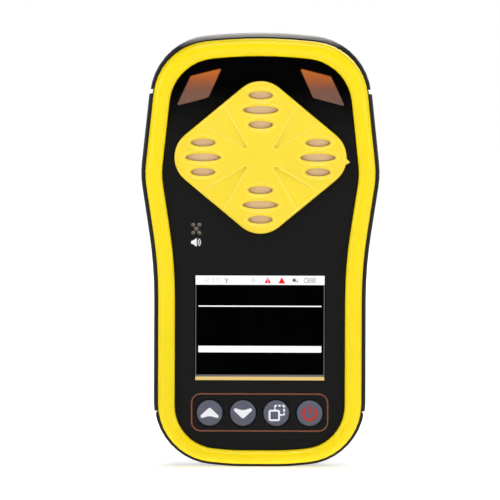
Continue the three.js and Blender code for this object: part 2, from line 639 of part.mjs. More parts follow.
const SINK = 0.2;                     // a part on a board starts this deep in it, so that the two join
const MAIN_BOARD_OUTLINE = [
  [-19.4, 8.5], [19.4, 8.5], [19.4, 21.5], [26, 21.5], [26, 67.5],
  [-11.6, 67.5], [-11.6, 77.5], [-26, 77.5], [-26, 21.5], [-19.4, 21.5],
];
const CHIPS = [
  { spanX: [-6, 3], spanZ: [34, 43], backY: -8.2 },
  { spanX: [-18, -12], spanZ: [48, 54], backY: -8.4 },
  { spanX: [7, 13], spanZ: [56, 60], backY: -8.4 },
];
const SENSOR_BOARD_Y = [0.6, 2.2];
const SOCKET = { halfWidth: 4, halfHeight: 2, backY: 4.4 };
const LED_BOARD = { halfWidth: 4, halfHeight: 2.5, y: [-14.4, -13.6] };
const LED_LAMP = { halfWidth: 1.8, halfHeight: 1.4, y: [-15.2, -14] };
const USB_SHELL = { x: [19.9, 27.4], y: [-9.1, -5.9], z: [33, 42] };
const USB_MOUTH = { x: [21, 28], y: [-8.7, -6.3], z: [33.5, 41.5] };
const USB_TONGUE = { x: [20.5, 26.4], y: [-7.8, -7.2], z: [34.4, 40.6] };
const BATTERY = { halfWidth: 17, z: [14, 64], y: [-5.5, 7.5], radius: 1.5 };
const BATTERY_LEAD = { x: [8, 14], y: [-1, 2], z: [63.5, 65.5] };
const BATTERY_PAD = { x: [-12, 12], y: [7.8, 9.7], z: [20, 58] };
const BACKLIGHT = { x: [-22.5, 22.5], y: [-16.2, -13.7], z: [21.6, 60.6] };
const MOTOR = { x: 20, z: 54, radius: 5, backY: -6.1 };

function blockOf({ x, y, z }) {
  return boxBetween(x, y, z);
}

function blockAround(x, z, { halfWidth, halfHeight, y }) {
  return boxBetween([x - halfWidth, x + halfWidth], y, [z - halfHeight, z + halfHeight]);
}

function makeMainBoard() {
  const board = plate(MAIN_BOARD_OUTLINE.map(([x, z]) => new THREE.Vector2(x, z)), ...MAIN_BOARD_Y);
  const chips = CHIPS.map(({ spanX, spanZ, backY }) => (
    boxBetween(spanX, [MAIN_BOARD_Y[1] - SINK, backY], spanZ)));
  return join(board, ...chips);
}

function makeSensorBoard() {
  const board = plate(coverOutline(-1), ...SENSOR_BOARD_Y);
  const socketY = [SENSOR_BOARD_Y[1] - SINK, SOCKET.backY];
  return join(board, blockAround(0, COVER_Z, { ...SOCKET, y: socketY }));
}

function makeCell(x, z) {
  const circle = (radius) => circleOutline(x, z, radius, 24);
  return loft([
    { outline: circle(CELL_NECK.radius), y: CELL_FRONT_Y },
    { outline: circle(CELL_NECK.radius), y: CELL_FRONT_Y + CELL_NECK.length },
    { outline: circle(CELL_DIAMETER / 2), y: CELL_FRONT_Y + CELL_NECK.length },
    { outline: circle(CELL_DIAMETER / 2), y: CELL_FRONT_Y + CELL_LENGTH },
  ]);
}

function makeUsbPort() {
  return join(cut(blockOf(USB_SHELL), blockOf(USB_MOUTH)), blockOf(USB_TONGUE));
}

function makeBatteryPack() {
  const { halfWidth, z, y, radius } = BATTERY;
  const cell = plate(roundedRectangle(-halfWidth, halfWidth, ...z, radius, 2), ...y);
  return join(cell, blockOf(BATTERY_LEAD));
}

function makeBuzzer() {
  return discAlongY(GRILLE.x, GRILLE.z, BUZZER.radius, BUZZER.frontY, MAIN_BOARD_Y[0] - GAP);
}

function makeVibrationMotor() {
  return discAlongY(MOTOR.x, MOTOR.z, MOTOR.radius, MAIN_BOARD_Y[1] + GAP, MOTOR.backY);
}

function makeAlarmLed(sign) {
  const { x, z } = ALARM_MIDDLE;
  return join(blockAround(sign * x, z, LED_BOARD), blockAround(sign * x, z, LED_LAMP));
}

// ---------------------------------------------------------------- back of the case

const CLIP_SCREW_Z = { upper: 103, lower: 72 };
const CLIP_BOSS = { radius: 3.2, frontY: 5 };
const CLIP_SCREW_TIP_Y = 6.5;
const BACK_ROUNDING = [[1.3, 6.3], [1.3, 8.2], [2.1, 10.2], [3.8, 11.5], [5.8, BODY_BACK_Y]];  // inset, y
const BACK_WALL_INSET = 6;
const SEAL_SECTION = [[2.2, -1], [2.2, -0.4], [3.6, -0.4], [3.6, -1]];                      // inset, y
const SCREW_HEAD = { height: 2, bevel: 0.5 };

function makeRearShell() {
  const outside = loft([
    { outline: evenOutline(SHELL_INSET), y: REAR_SHELL_START_Y },
    { outline: evenOutline(SHELL_INSET), y: BAND_BACK_Y + GAP },
    ...BACK_ROUNDING.map(([inset, y]) => ({ outline: evenOutline(inset), y })),
  ]);
  const inside = loft([
    { outline: evenOutline(SHELL_INSET + SHELL_WALL), y: REAR_SHELL_START_Y - OVERCUT },
    { outline: evenOutline(SHELL_INSET + SHELL_WALL), y: REAR_INSIDE_Y - SHELL_WALL },
    { outline: evenOutline(BACK_WALL_INSET), y: REAR_INSIDE_Y },
  ]);
  const posts = POSTS.map(({ x, z }) => (
    discAlongY(x, z, REAR_POST_RADIUS, REAR_SHELL_START_Y, REAR_INSIDE_Y + OVERCUT / 2)));
  const bosses = Object.values(CLIP_SCREW_Z).map((z) => (
    discAlongY(0, z, CLIP_BOSS.radius, CLIP_BOSS.frontY, REAR_INSIDE_Y + OVERCUT / 2)));
  const screwHoles = POSTS.flatMap(({ x, z }) => [
    discAlongY(x, z, SCREW_HEAD_RADIUS + GAP, SCREW_SEAT_Y, BODY_BACK_Y + OVERCUT, 16),
    discAlongY(x, z, SCREW_SHANK_RADIUS + GAP, REAR_SHELL_START_Y - OVERCUT, SCREW_SEAT_Y + OVERCUT, 16),
  ]);
  const clipHoles = Object.values(CLIP_SCREW_Z).map((z) => (
    discAlongY(0, z, SCREW_SHANK_RADIUS + GAP, CLIP_BOSS.frontY + OVERCUT, BODY_BACK_Y + OVERCUT, 16)));
  return cut(join(cut(outside, inside), ...posts, ...bosses), ...screwHoles, ...clipHoles);
}

function makeCaseSeal() {
  return loft(SEAL_SECTION.map(([inset, y]) => ({ outline: evenOutline(inset), y })), true);
}

function makeCaseScrew(x, z) {
  const circle = (radius) => circleOutline(x, z, radius, 16);
  const head = SCREW_SEAT_Y + GAP;
  const screw = loft([
    { outline: circle(SCREW_SHANK_RADIUS), y: SCREW_TIP_Y },
    { outline: circle(SCREW_SHANK_RADIUS), y: head },
    { outline: circle(SCREW_HEAD_RADIUS), y: head },
    { outline: circle(SCREW_HEAD_RADIUS), y: head + SCREW_HEAD.height - SCREW_HEAD.bevel },
    { outline: circle(SCREW_HEAD_RADIUS - SCREW_HEAD.bevel), y: head + SCREW_HEAD.height },
  ]);
  return cut(screw, ...crossRecess(x, z, head + SCREW_HEAD.height));
}

function crossRecess(x, z, headY) {
  const [halfLength, halfWidth] = [1.4, 0.3];
  const y = [headY - 1, headY + OVERCUT];
  return [
    blockAround(x, z, { halfWidth: halfLength, halfHeight: halfWidth, y }),
    blockAround(x, z, { halfWidth, halfHeight: halfLength, y }),
  ];
}

// The protective band round the case is one closed section, cut into rails and bumpers. It is
// thicker under the case, where it makes the sole.
function makeBand(sideInset) {
  const outline = (inset) => bodyOutline(sideInset + inset, inset, inset - SOLE_DEPTH);
  const inner = evenOutline(BAND_THICKNESS);
  const front = BAND_ROUNDING.map(([inset, y]) => ({ outline: outline(inset), y: BAND_FRONT_Y + y }));
  const back = BAND_ROUNDING.map(([inset, y]) => ({ outline: outline(inset), y: BAND_BACK_Y - y }));
  return loft([
    { outline: inner, y: BAND_FRONT_Y },
    ...front,
    ...back.reverse(),
    { outline: inner, y: BAND_BACK_Y },
  ], true);
}

const EVERYWHERE = [-50, 50];
const BELOW_ALL = -5;
const ABOVE_ALL = 140;

function makeRightRail() {
  const reach = [BAND_SPLIT_BOTTOM_Z[1], BAND_SPLIT_TOP_Z[0]];
  return common(makeBand(0), boxBetween([0, 50], EVERYWHERE, reach));
}

// The right rail has the opening for the port flap and two pockets for the ends of its pin.
function makePortedRail() {
  const openingY = [FLAP_Y[0] - GAP, FLAP_Y[1] + FLAP_RADIUS + GAP];
  const opening = boxBetween(RAIL_SPAN_X, openingY, [FLAP_Z[0] - GAP, FLAP_Z[1] + GAP]);
  const pocketReach = FLAP_PIN.radius + GAP;
  const pinPocket = boxBetween(
    [RAIL_SPAN_X[0], FLAP_AXIS_X + pocketReach],
    [FLAP_Y[1] - pocketReach, FLAP_Y[1] + pocketReach],
    [FLAP_PIN.z[0] - GAP, FLAP_PIN.z[1] + GAP],
  );
  return cut(makeRightRail(), opening, pinPocket);
}

function makePortFlap() {
  const cover = boxBetween([FLAP_AXIS_X - FLAP_RADIUS, LOW_HALF_WIDTH], FLAP_Y, FLAP_Z);
  const alongZ = (radius, z0, z1, steps) => {
    const rod = new THREE.CylinderGeometry(radius, radius, z1 - z0, steps);
    return rod.rotateX(Math.PI / 2).translate(FLAP_AXIS_X, FLAP_Y[1], (z0 + z1) / 2);
  };
  return join(
    cover,
    alongZ(FLAP_RADIUS, ...FLAP_Z, 16),
    alongZ(FLAP_PIN.radius, ...FLAP_PIN.z, 10),
    blockOf(FLAP_PLUG),
  );
}

function makeTopBumper() {
  const reach = [BAND_SPLIT_TOP_Z[1], ABOVE_ALL];
  return common(makeBand(BUMPER_SIDE_INSET), boxBetween(EVERYWHERE, EVERYWHERE, reach));
}

function makeBottomBumper() {
  const reach = [BELOW_ALL, BAND_SPLIT_BOTTOM_Z[0]];
  return common(makeBand(BUMPER_SIDE_INSET), boxBetween(EVERYWHERE, EVERYWHERE, reach));
}

// ---------------------------------------------------------------- belt clip

const CLIP_PLATE_Y = [BODY_BACK_Y + GAP, 13.8];
const CLIP_ARM_INNER_Y = 20.3;
const CLIP_PIN_RADIUS = 1.2;
const CLIP_PIN_HEAD = { radius: 1.9, x: [10.7, 11.4] };
const CLIP_BORE_X = [-12, 12];
const CLIP_PLATE = { halfWidth: 11, z: [54, 108], radius: 2.5 };
const EAR = { radius: 2.8, x: [8.9, 10.4] };
const LUG = { radius: 2.4, x: [6.9, 8.4] };
const COUNTERSINK_START = 0.3;        // depth of the straight part of a clip screw's hole
const SPRING_COIL = { outer: 2.55, inner: 1.55, halfLength: 5 };
const SPRING_LEG = { thickness: 0.8, start: 0.5, length: 9.5, bracketY: 14.35, armY: 18.65 };

function circleRod(radius, x0, x1, steps) {
  return rodAlongX(CLIP_AXIS_Y, CLIP_AXIS_Z, radius, x0, x1, steps);
}

// A round eye for the clip's pin, with a block that ties it to the plate or lever at that depth.
function makePinEye({ radius, x }, tieY) {
  const tie = boxBetween(x, tieY, [CLIP_AXIS_Z - radius, CLIP_AXIS_Z + radius]);
  return join(circleRod(radius, ...x), tie);
}

function makeClipBracket() {
  const { halfWidth, z: plateZ, radius } = CLIP_PLATE;
  const base = plate(roundedRectangle(-halfWidth, halfWidth, ...plateZ, radius, 3), ...CLIP_PLATE_Y);
  const ear = makePinEye(EAR, [CLIP_PLATE_Y[0] + OVERCUT / 2, CLIP_AXIS_Y]);
  const sinks = Object.values(CLIP_SCREW_Z).map((z) => loft([
    { outline: circleOutline(0, z, SCREW_SHANK_RADIUS + GAP, 16), y: CLIP_PLATE_Y[0] - OVERCUT },
    { outline: circleOutline(0, z, SCREW_SHANK_RADIUS + GAP, 16), y: CLIP_PLATE_Y[0] + COUNTERSINK_START },
    { outline: circleOutline(0, z, SCREW_HEAD_RADIUS + GAP, 16), y: CLIP_PLATE_Y[1] },
    { outline: circleOutline(0, z, SCREW_HEAD_RADIUS + GAP, 16), y: CLIP_PLATE_Y[1] + OVERCUT },
  ]));
  const bore = circleRod(CLIP_PIN_RADIUS + GAP, ...CLIP_BORE_X);
  return cut(join(base, ear, mirrored(ear)), ...sinks, bore);
}

function makeClipScrew(z) {
  const circle = (radius) => circleOutline(0, z, radius, 16);
  const screw = loft([
    { outline: circle(SCREW_SHANK_RADIUS), y: CLIP_SCREW_TIP_Y },
    { outline: circle(SCREW_SHANK_RADIUS), y: CLIP_PLATE_Y[0] + COUNTERSINK_START },
    { outline: circle(SCREW_HEAD_RADIUS), y: CLIP_PLATE_Y[1] },
  ]);
  return cut(screw, ...crossRecess(0, z, CLIP_PLATE_Y[1] + GAP));
}

// The arm seen from the side: a flat lever whose lower end turns in towards the bracket.
function makeClipArm() {
  const side = [
    [CLIP_ARM_INNER_Y, 110], [22, 110], [22, 62.5], [21.4, 60.2], [19.9, 58.5], [15.2, 56.6],
    [14.2, 57.6], [14.6, 58.7], [18.7, 60.4], [19.9, 61.8], [CLIP_ARM_INNER_Y, 63.6],
  ];
  const section = side.map(([y, z]) => new THREE.Vector2(y, z)).reverse();
  const lever = barAlongX(section, -LUG.x[1], LUG.x[1]);
  const lug = makePinEye(LUG, [CLIP_AXIS_Y, CLIP_ARM_INNER_Y + OVERCUT / 2]);
  const bore = circleRod(CLIP_PIN_RADIUS + GAP, ...CLIP_BORE_X);
  return cut(join(lever, lug, mirrored(lug)), bore);
}

function makeClipPin() {
  const { radius, x } = CLIP_PIN_HEAD;
  const head = circleRod(radius, ...x);
  return join(circleRod(CLIP_PIN_RADIUS, -x[0] - SINK, x[0] + SINK), head, mirrored(head));
}

// The torsion spring: a close coil round the pin and two straight legs that spread arm and bracket.
function makeClipSpring() {
  const { outer, inner, halfLength } = SPRING_COIL;
  const { thickness, start, length, bracketY, armY } = SPRING_LEG;
  const coil = cut(circleRod(outer, -halfLength, halfLength), circleRod(inner, ...CLIP_BORE_X));
  const z = [CLIP_AXIS_Z + start, CLIP_AXIS_Z + start + length];
  const bracketLeg = boxBetween([halfLength - thickness, halfLength], [bracketY, bracketY + thickness], z);
  const armLeg = boxBetween([-halfLength, thickness - halfLength], [armY, armY + thickness], z);
  return join(coil, bracketLeg, armLeg);
}

// ---------------------------------------------------------------- assembly

addPiece('front_shell', makeFrontShell(), BLACK_PLASTIC);
addPiece('bezel', makeBezel(), YELLOW_RUBBER);
addPiece('face_panel', makeFacePanel(), GLOSS_BLACK);
addPiece('screen_lens', plate(screenOutline(0), PANEL_FRONT_Y, PANEL_BACK_Y), CLEAR_WINDOW);
addPiece('alarm_lens_left', makeAlarmLens(), AMBER_WINDOW);
addPiece('alarm_lens_right', mirrored(makeAlarmLens()), AMBER_WINDOW);
addPiece('sensor_cover', makeSensorCover(), YELLOW_PLASTIC);
addPiece('sensor_gasket', makeSensorGasket(), GREY_RUBBER);

CELLS.forEach(([name, { place, x, z }]) => {
  const filter = discAlongY(x, z, FILTER_RADIUS, FILTER_FRONT_Y, COVER_BACK_Y);
  addPiece(`sensor_filter_${place}`, filter, FILTER_FELT);
  addPiece(name, makeCell(x, z), CELL_PLASTIC);
});

Object.entries(KEY_X).forEach(([name, x]) => {
  const pill = discAlongY(x, KEY_Z, PILL.radius, PILL.frontY, PILL.backY, 16);
  addPiece(name, makeKey(x), KEY_PLASTIC);
  addPiece(name.replace('key', 'pill'), pill, CARBON);
});
addPiece('keypad_mat', makeKeypadMat(), GREY_RUBBER);

addPiece('lcd_glass', plate(screenOutline(LCD_BORDER), WALL_FRONT_Y, LCD_BACK_Y), DISPLAY_GLASS);
addPiece('lcd_backlight', blockOf(BACKLIGHT), WHITE_PLASTIC);
addPiece('main_board', makeMainBoard(), BOARD_GREEN);
addPiece('sensor_board', makeSensorBoard(), BOARD_GREEN);
addPiece('alarm_led_left', makeAlarmLed(-1), WHITE_PLASTIC);
addPiece('alarm_led_right', makeAlarmLed(1), WHITE_PLASTIC);
addPiece('buzzer', makeBuzzer(), BLACK_PLASTIC);
addPiece('buzzer_mesh', makeGrilleMesh(), DARK_STEEL);
addPiece('vibration_motor', makeVibrationMotor(), BRIGHT_STEEL);
addPiece('battery_pack', makeBatteryPack(), BATTERY_WRAP);
addPiece('battery_pad', blockOf(BATTERY_PAD), GREY_RUBBER);
addPiece('usb_port', makeUsbPort(), BRIGHT_STEEL);

addPiece('case_seal', makeCaseSeal(), GREY_RUBBER);
addPiece('rear_shell', makeRearShell(), BLACK_PLASTIC);
POSTS.forEach(({ name, x, z }) => addPiece(`case_screw_${name}`, makeCaseScrew(x, z), DARK_STEEL));

addPiece('side_rail_left', mirrored(makeRightRail()), DARK_RUBBER);
addPiece('side_rail_right', makePortedRail(), DARK_RUBBER);
addPiece('top_bumper', makeTopBumper(), DARK_RUBBER);
addPiece('bottom_bumper', makeBottomBumper(), DARK_RUBBER);
addPiece('port_flap', makePortFlap(), DARK_RUBBER);

addPiece('clip_bracket', makeClipBracket(), BRIGHT_STEEL);
addPiece('clip_arm', makeClipArm(), BRIGHT_STEEL);
addPiece('clip_pin', makeClipPin(), BRIGHT_STEEL);
addPiece('clip_spring', makeClipSpring(), BRIGHT_STEEL);
Object.entries(CLIP_SCREW_Z).forEach(([place, z]) => {
  addPiece(`clip_screw_${place}`, makeClipScrew(z), DARK_STEEL);
});

export default detector;
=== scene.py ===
"""Looks of the portable gas detector: materials, printed symbols, screen content, light and camera.

The CAD nodes keep their shapes. They get rounded edges by modifiers and procedural materials, and
the prints, the screen content and the clip's coiled spring are pieces made here.
"""
import json
import math

import bmesh
import bpy
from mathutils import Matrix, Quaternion, Vector


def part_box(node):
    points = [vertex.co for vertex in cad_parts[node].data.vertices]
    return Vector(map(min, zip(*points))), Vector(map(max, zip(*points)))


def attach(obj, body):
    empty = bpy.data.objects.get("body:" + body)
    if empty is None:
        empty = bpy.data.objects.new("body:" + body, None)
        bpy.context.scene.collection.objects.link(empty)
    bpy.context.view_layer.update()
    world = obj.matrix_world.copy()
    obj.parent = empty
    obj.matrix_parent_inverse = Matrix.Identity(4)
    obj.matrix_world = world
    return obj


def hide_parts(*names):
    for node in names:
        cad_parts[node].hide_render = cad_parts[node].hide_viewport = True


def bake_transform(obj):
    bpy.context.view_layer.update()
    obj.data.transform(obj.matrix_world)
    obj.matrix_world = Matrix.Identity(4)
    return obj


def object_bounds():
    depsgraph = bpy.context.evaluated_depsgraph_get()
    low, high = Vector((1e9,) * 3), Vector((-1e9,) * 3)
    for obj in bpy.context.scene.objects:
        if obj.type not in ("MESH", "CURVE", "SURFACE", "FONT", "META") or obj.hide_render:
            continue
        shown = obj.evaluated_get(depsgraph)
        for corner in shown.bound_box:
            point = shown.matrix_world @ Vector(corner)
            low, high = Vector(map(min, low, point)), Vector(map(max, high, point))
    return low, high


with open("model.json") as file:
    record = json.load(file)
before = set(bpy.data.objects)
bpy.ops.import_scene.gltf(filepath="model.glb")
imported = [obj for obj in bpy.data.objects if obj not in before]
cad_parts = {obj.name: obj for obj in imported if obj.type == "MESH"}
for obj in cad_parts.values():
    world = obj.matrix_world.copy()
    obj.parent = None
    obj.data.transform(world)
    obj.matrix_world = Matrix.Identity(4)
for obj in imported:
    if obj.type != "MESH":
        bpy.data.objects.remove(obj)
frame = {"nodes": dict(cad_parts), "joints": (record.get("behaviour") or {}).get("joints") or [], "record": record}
cad_box = [list(corner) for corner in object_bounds()]

MM = 0.001

# The camera: how much of the object's front plane the picture shows, and from how far.
CAMERA_DISTANCE = 2.0
CAMERA_ELEVATION = math.radians(1.8)
PICTURE_WIDTH = 149.7 * MM
AIM_X = -3.06 * MM
AIM_HEIGHT_SHARE = 0.502
CAMERA_ROLL = math.radians(0.2)
SENSOR_WIDTH = 36

# Printed and shown things, in mm.
PRINT_THICKNESS = 0.04                # a print stands this far proud of what carries it
PRINT_SINK = 0.01                     # and its back reaches this far into it
SCREEN_LIFT = 0.06                    # the same for content on the display
DRAPE_EDGE = 0.6                      # longest edge of a shape that follows a key's dome
FRAME_RISE = 0.2                      # the printed frame's middle over the middle of the keys

# Where painted light and shade change over the detector's height, in metres.
PANEL_PAINTED_REFLECTION = (98 * MM, 114 * MM)      # painted reflection: the black face is lighter below this stretch and deepest above it
WINDOW_GLOW = (109.5 * MM, 119.5 * MM)
PAINTED_SHEEN_REACH = (4.5 * MM, 0.3 * MM)     # the top bumper's painted sheen starts and ends this far below its top

EDGE_AGREEMENT = (0.94, 0.995)        # of a rounded with a flat normal, at an edge and away from it
FINE_LINES = 900                      # wave scale of the wire mesh and of the display's picture lines

FLOOR_GLOW = (0.63, 1.0)              # under the detector, far away
DARKEST_AIR = 0.05                    # the world's light towards the camera


# ---------------------------------------------------------------- material building blocks


def srgb(red, green, blue):
    """A colour given in 0..255 display values, as linear RGBA."""
    linear = []
    for value in (red, green, blue):
        share = value / 255
        linear.append(share / 12.92 if share <= 0.04045 else ((share + 0.055) / 1.055) ** 2.4)
    return (*linear, 1.0)


def scaled(colour, factor):
    return (*(min(channel * factor, 1.0) for channel in colour[:3]), 1.0)


class Finish:
    """A material with its Principled shader and short calls for the nodes that vary it."""

    def __init__(self, name):
        self.material = bpy.data.materials.new(name)
        self.material.use_nodes = True
        self.tree = self.material.node_tree
        self.shader = self.tree.nodes["Principled BSDF"]
        self.place = self.tree.nodes.new("ShaderNodeTexCoord").outputs["Object"]
        self.height = None

    def node(self, kind, **inputs):
        made = self.tree.nodes.new(kind)
        for key, value in inputs.items():
            made.inputs[key.replace("_", " ")].default_value = value
        return made

    def link(self, source, target):
        self.tree.links.new(source, target)

    def stretched(self, scale):
        mapping = self.node("ShaderNodeMapping", Scale=scale)
        self.link(self.place, mapping.inputs["Vector"])
        return mapping.outputs["Vector"]

    def noise(self, grain, detail=4.0, roughness=0.6, stretch=(1, 1, 1)):
        """Noise whose grains are about that many metres across."""
        texture = self.node("ShaderNodeTexNoise", Scale=1 / grain, Detail=detail, Roughness=roughness)
        self.link(self.stretched(stretch), texture.inputs["Vector"])
        return texture.outputs["Fac"]

    def cells(self, size, stretch=(1, 1, 1)):
        texture = self.node("ShaderNodeTexVoronoi", Scale=1 / size)
        self.link(self.stretched(stretch), texture.inputs["Vector"])
        return texture.outputs["Distance"]

    def ramp(self, factor, *stops):
        made = self.tree.nodes.new("ShaderNodeValToRGB")
        elements = made.color_ramp.elements
        while len(elements) < len(stops):
            elements.new(0.5)
        for element, (position, colour) in zip(elements, stops):
            element.position = position
            element.color = colour
        self.link(factor, made.inputs["Fac"])
        return made.outputs["Color"]

    def spread(self, factor, low, high, start=0.3, end=0.7):
        """Maps a factor between start and end to a value between low and high."""
        made = self.node("ShaderNodeMapRange", From_Min=start, From_Max=end, To_Min=low, To_Max=high)
        self.link(factor, made.inputs["Value"])
        return made.outputs["Result"]

    def along(self, axis, low, high):
        """0 at the coordinate low and 1 at high, along one axis of the object's frame."""
        split = self.tree.nodes.new("ShaderNodeSeparateXYZ")
        self.link(self.place, split.inputs["Vector"])
        return self.spread(split.outputs[axis], 0.0, 1.0, low, high)

    def edge_mask(self, radius):
        """1 within that distance of an edge, judged by how much rounding would turn the surface."""
        rounded_normal = self.tree.nodes.new("ShaderNodeBevel")
        rounded_normal.inputs["Radius"].default_value = radius
        flat_normal = self.tree.nodes.new("ShaderNodeNewGeometry")
        agreement = self.tree.nodes.new("ShaderNodeVectorMath")
        agreement.operation = "DOT_PRODUCT"
        self.link(rounded_normal.outputs["Normal"], agreement.inputs[0])
        self.link(flat_normal.outputs["Normal"], agreement.inputs[1])
        return self.spread(agreement.outputs["Value"], 1.0, 0.0, *EDGE_AGREEMENT)

    def mix(self, factor, first, second, mode="MIX"):
        made = self.tree.nodes.new("ShaderNodeMix")
        made.data_type = "RGBA"
        made.blend_type = mode
        for value, target in ((factor, 0), (first, 6), (second, 7)):
            if hasattr(value, "links"):
                self.link(value, made.inputs[target])
            else:
                made.inputs[target].default_value = value
        return made.outputs[2]

    def colour(self, output):
        self.link(output, self.shader.inputs["Base Color"])

    def vary_roughness(self, factor, low, high):
        self.link(self.spread(factor, low, high), self.shader.inputs["Roughness"])

    def bump(self, height, distance, strength=1.0):
        made = self.node("ShaderNodeBump", Strength=strength, Distance=distance)
        self.link(height, made.inputs["Height"])
        if self.height is not None:
            self.link(self.height, made.inputs["Normal"])
        self.height = made.outputs["Normal"]
        self.link(self.height, self.shader.inputs["Normal"])

    def set(self, **inputs):
        for key, value in inputs.items():
            self.shader.inputs[key.replace("_", " ")].default_value = value


def moulded(name, colour, roughness, grain=0.35 * MM, depth=0.012 * MM, spread=0.05):
    """Moulded plastic or rubber: slight cloudiness in colour, fine grain in the surface."""
    finish = Finish(name)
    cloud = finish.noise(9 * MM, detail=3)
    finish.colour(finish.ramp(cloud, (0.3, scaled(colour, 1 - spread)), (0.7, scaled(colour, 1 + spread))))
    speckle = finish.noise(grain, detail=3)
    finish.vary_roughness(speckle, roughness - 0.05, roughness + 0.05)
    finish.bump(speckle, depth)
    return finish


# ---------------------------------------------------------------- materials


def yellow_overmould():
    finish = moulded("yellow_overmould_soft", srgb(252, 224, 8), 0.36, depth=0.002 * MM, spread=0.02)
    finish.set(Specular_IOR_Level=0.35)
    return finish.material


def cover_yellow():
    """Satin yellow, with a painted highlight along its edges and painted shade in its hollows."""
    finish = moulded("cover_yellow_satin", srgb(251, 221, 52), 0.34, depth=0.002 * MM, spread=0.02)
    cloud = finish.shader.inputs["Base Color"].links[0].from_socket
    # painted highlight: paler yellow along the rounded edges
    painted_edge_highlight = finish.mix(finish.edge_mask(0.45 * MM), cloud, srgb(255, 240, 120))
    # painted shade: deeper orange where the hollows are occluded
    occlusion_for_painted_shade = finish.node("ShaderNodeAmbientOcclusion", Distance=1.5 * MM).outputs["AO"]
    finish.colour(finish.mix(finish.spread(occlusion_for_painted_shade, 1.0, 0.0, 0.3, 0.75), painted_edge_highlight, srgb(236, 168, 10)))
    return finish.material


def face_gloss():
    """Polished black with a painted reflection: lighter lower down and deepest at the top, with a faint film and a
    few fine dust marks.
    """
    finish = Finish("face_gloss_black")
    # painted reflection: lighter grey lower down, near black at the top, by height
    rise = finish.along("Z", *PANEL_PAINTED_REFLECTION)
    painted_reflection_tone = finish.ramp(rise, (0.0, srgb(31, 31, 31)), (1.0, srgb(4, 4, 4)))
    specks = finish.noise(0.5 * MM, detail=6)
    dust = finish.ramp(specks, (0.70, (0, 0, 0, 1)), (0.80, (0.012, 0.012, 0.013, 1)))
    finish.colour(finish.mix(1.0, painted_reflection_tone, dust, "ADD"))
    finish.vary_roughness(finish.noise(7 * MM, detail=5), 0.03, 0.09)
    finish.bump(finish.noise(4 * MM, detail=1), 0.002 * MM)
    finish.set(Coat_Weight=0.3, Coat_Roughness=0.02)
    return finish.material


def case_black():
    finish = moulded("case_black_grained", srgb(30, 30, 33), 0.5,
                     grain=0.5 * MM, depth=0.03 * MM, spread=0.1)
    finish.bump(finish.cells(0.7 * MM), 0.015 * MM)
    return finish.material


def band_rubber():
    """Dark rubber, scuffed, with a painted sheen that greys it towards the top of the case."""
    finish = moulded("band_rubber_dark", srgb(52, 50, 60), 0.36,
                     grain=0.4 * MM, depth=0.006 * MM, spread=0.1)
    dark = finish.shader.inputs["Base Color"].links[0].from_socket
    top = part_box("top_bumper")[1].z
    painted_sheen_mask = finish.along("Z", top - PAINTED_SHEEN_REACH[0], top - PAINTED_SHEEN_REACH[1])
    # painted sheen: light grey near the top of the top bumper, by height
    finish.colour(finish.mix(painted_sheen_mask, dark, srgb(208, 207, 213)))
    finish.bump(finish.noise(2.5 * MM, detail=8, stretch=(1, 1, 0.3)), 0.004 * MM)
    return finish.material


def seal_grey():
    return moulded("seal_grey_silicone", srgb(126, 126, 124), 0.7).material


def pill_carbon():
    return moulded("pill_carbon_rubber", srgb(24, 24, 24), 0.85).material


def cell_body():
    return moulded("cell_body_offwhite", srgb(222, 219, 210), 0.5).material


def backlight_white():
    return moulded("backlight_white_plastic", srgb(238, 238, 232), 0.5).material


def key_plastic():
    return moulded("key_slate_matte", srgb(92, 95, 112), 0.55, grain=0.25 * MM, depth=0.008 * MM).material


def symbol_white():
    return moulded("symbol_white_print", srgb(240, 240, 248), 0.5, grain=0.2 * MM, spread=0.02).material


def symbol_red():
    return moulded("symbol_red_print", srgb(192, 40, 36), 0.5, grain=0.2 * MM, spread=0.05).material


def line_brown():
    return moulded("line_brown_print", srgb(134, 78, 52), 0.45, grain=0.3 * MM, spread=0.08).material


def window_amber():
    """Amber window: orange where the light comes in at the top, smoky below."""
    finish = Finish("window_amber_smoked")
    # painted light: orange towards the top and smoky below, by height
    rise = finish.along("Z", *WINDOW_GLOW)
    tone = finish.ramp(
        rise, (0.0, srgb(108, 88, 84)), (0.45, srgb(124, 84, 70)), (0.75, srgb(178, 94, 46)),
        (1.0, srgb(206, 106, 34)),
    )
    haze = finish.noise(3 * MM, detail=3)
    finish.colour(finish.mix(finish.spread(haze, 0.0, 0.35), tone, srgb(150, 100, 66)))
    finish.vary_roughness(finish.noise(5 * MM), 0.05, 0.12)
    finish.bump(finish.noise(1.2 * MM, detail=2), 0.01 * MM)
    finish.set(Coat_Weight=0.5, Coat_Roughness=0.04)
    return finish.material


def filter_felt():
    """Pressed fibre filter: short crossing strands in two beige tones, with painted shade near the slot walls."""
    finish = Finish("filter_felt_beige")
    strands = finish.noise(0.35 * MM, detail=8, stretch=(1, 1, 3))
    crossing = finish.noise(0.35 * MM, detail=8, stretch=(3, 1, 1))
    woven = finish.mix(0.5, strands, crossing)
    finish.colour(finish.ramp(woven, (0.35, srgb(222, 186, 136)), (0.65, srgb(252, 226, 190))))
    fibres = finish.shader.inputs["Base Color"].links[0].from_socket
    # painted shade: darker brown where the slot walls occlude the felt
    occlusion_for_painted_shade = finish.node("ShaderNodeAmbientOcclusion", Distance=2.5 * MM).outputs["AO"]
    finish.colour(finish.mix(finish.spread(occlusion_for_painted_shade, 0.9, 0.0, 0.2, 0.6), fibres, srgb(150, 100, 44)))
    finish.set(Roughness=0.95, Sheen_Weight=0.3)
    finish.bump(woven, 0.08 * MM)
    return finish.material


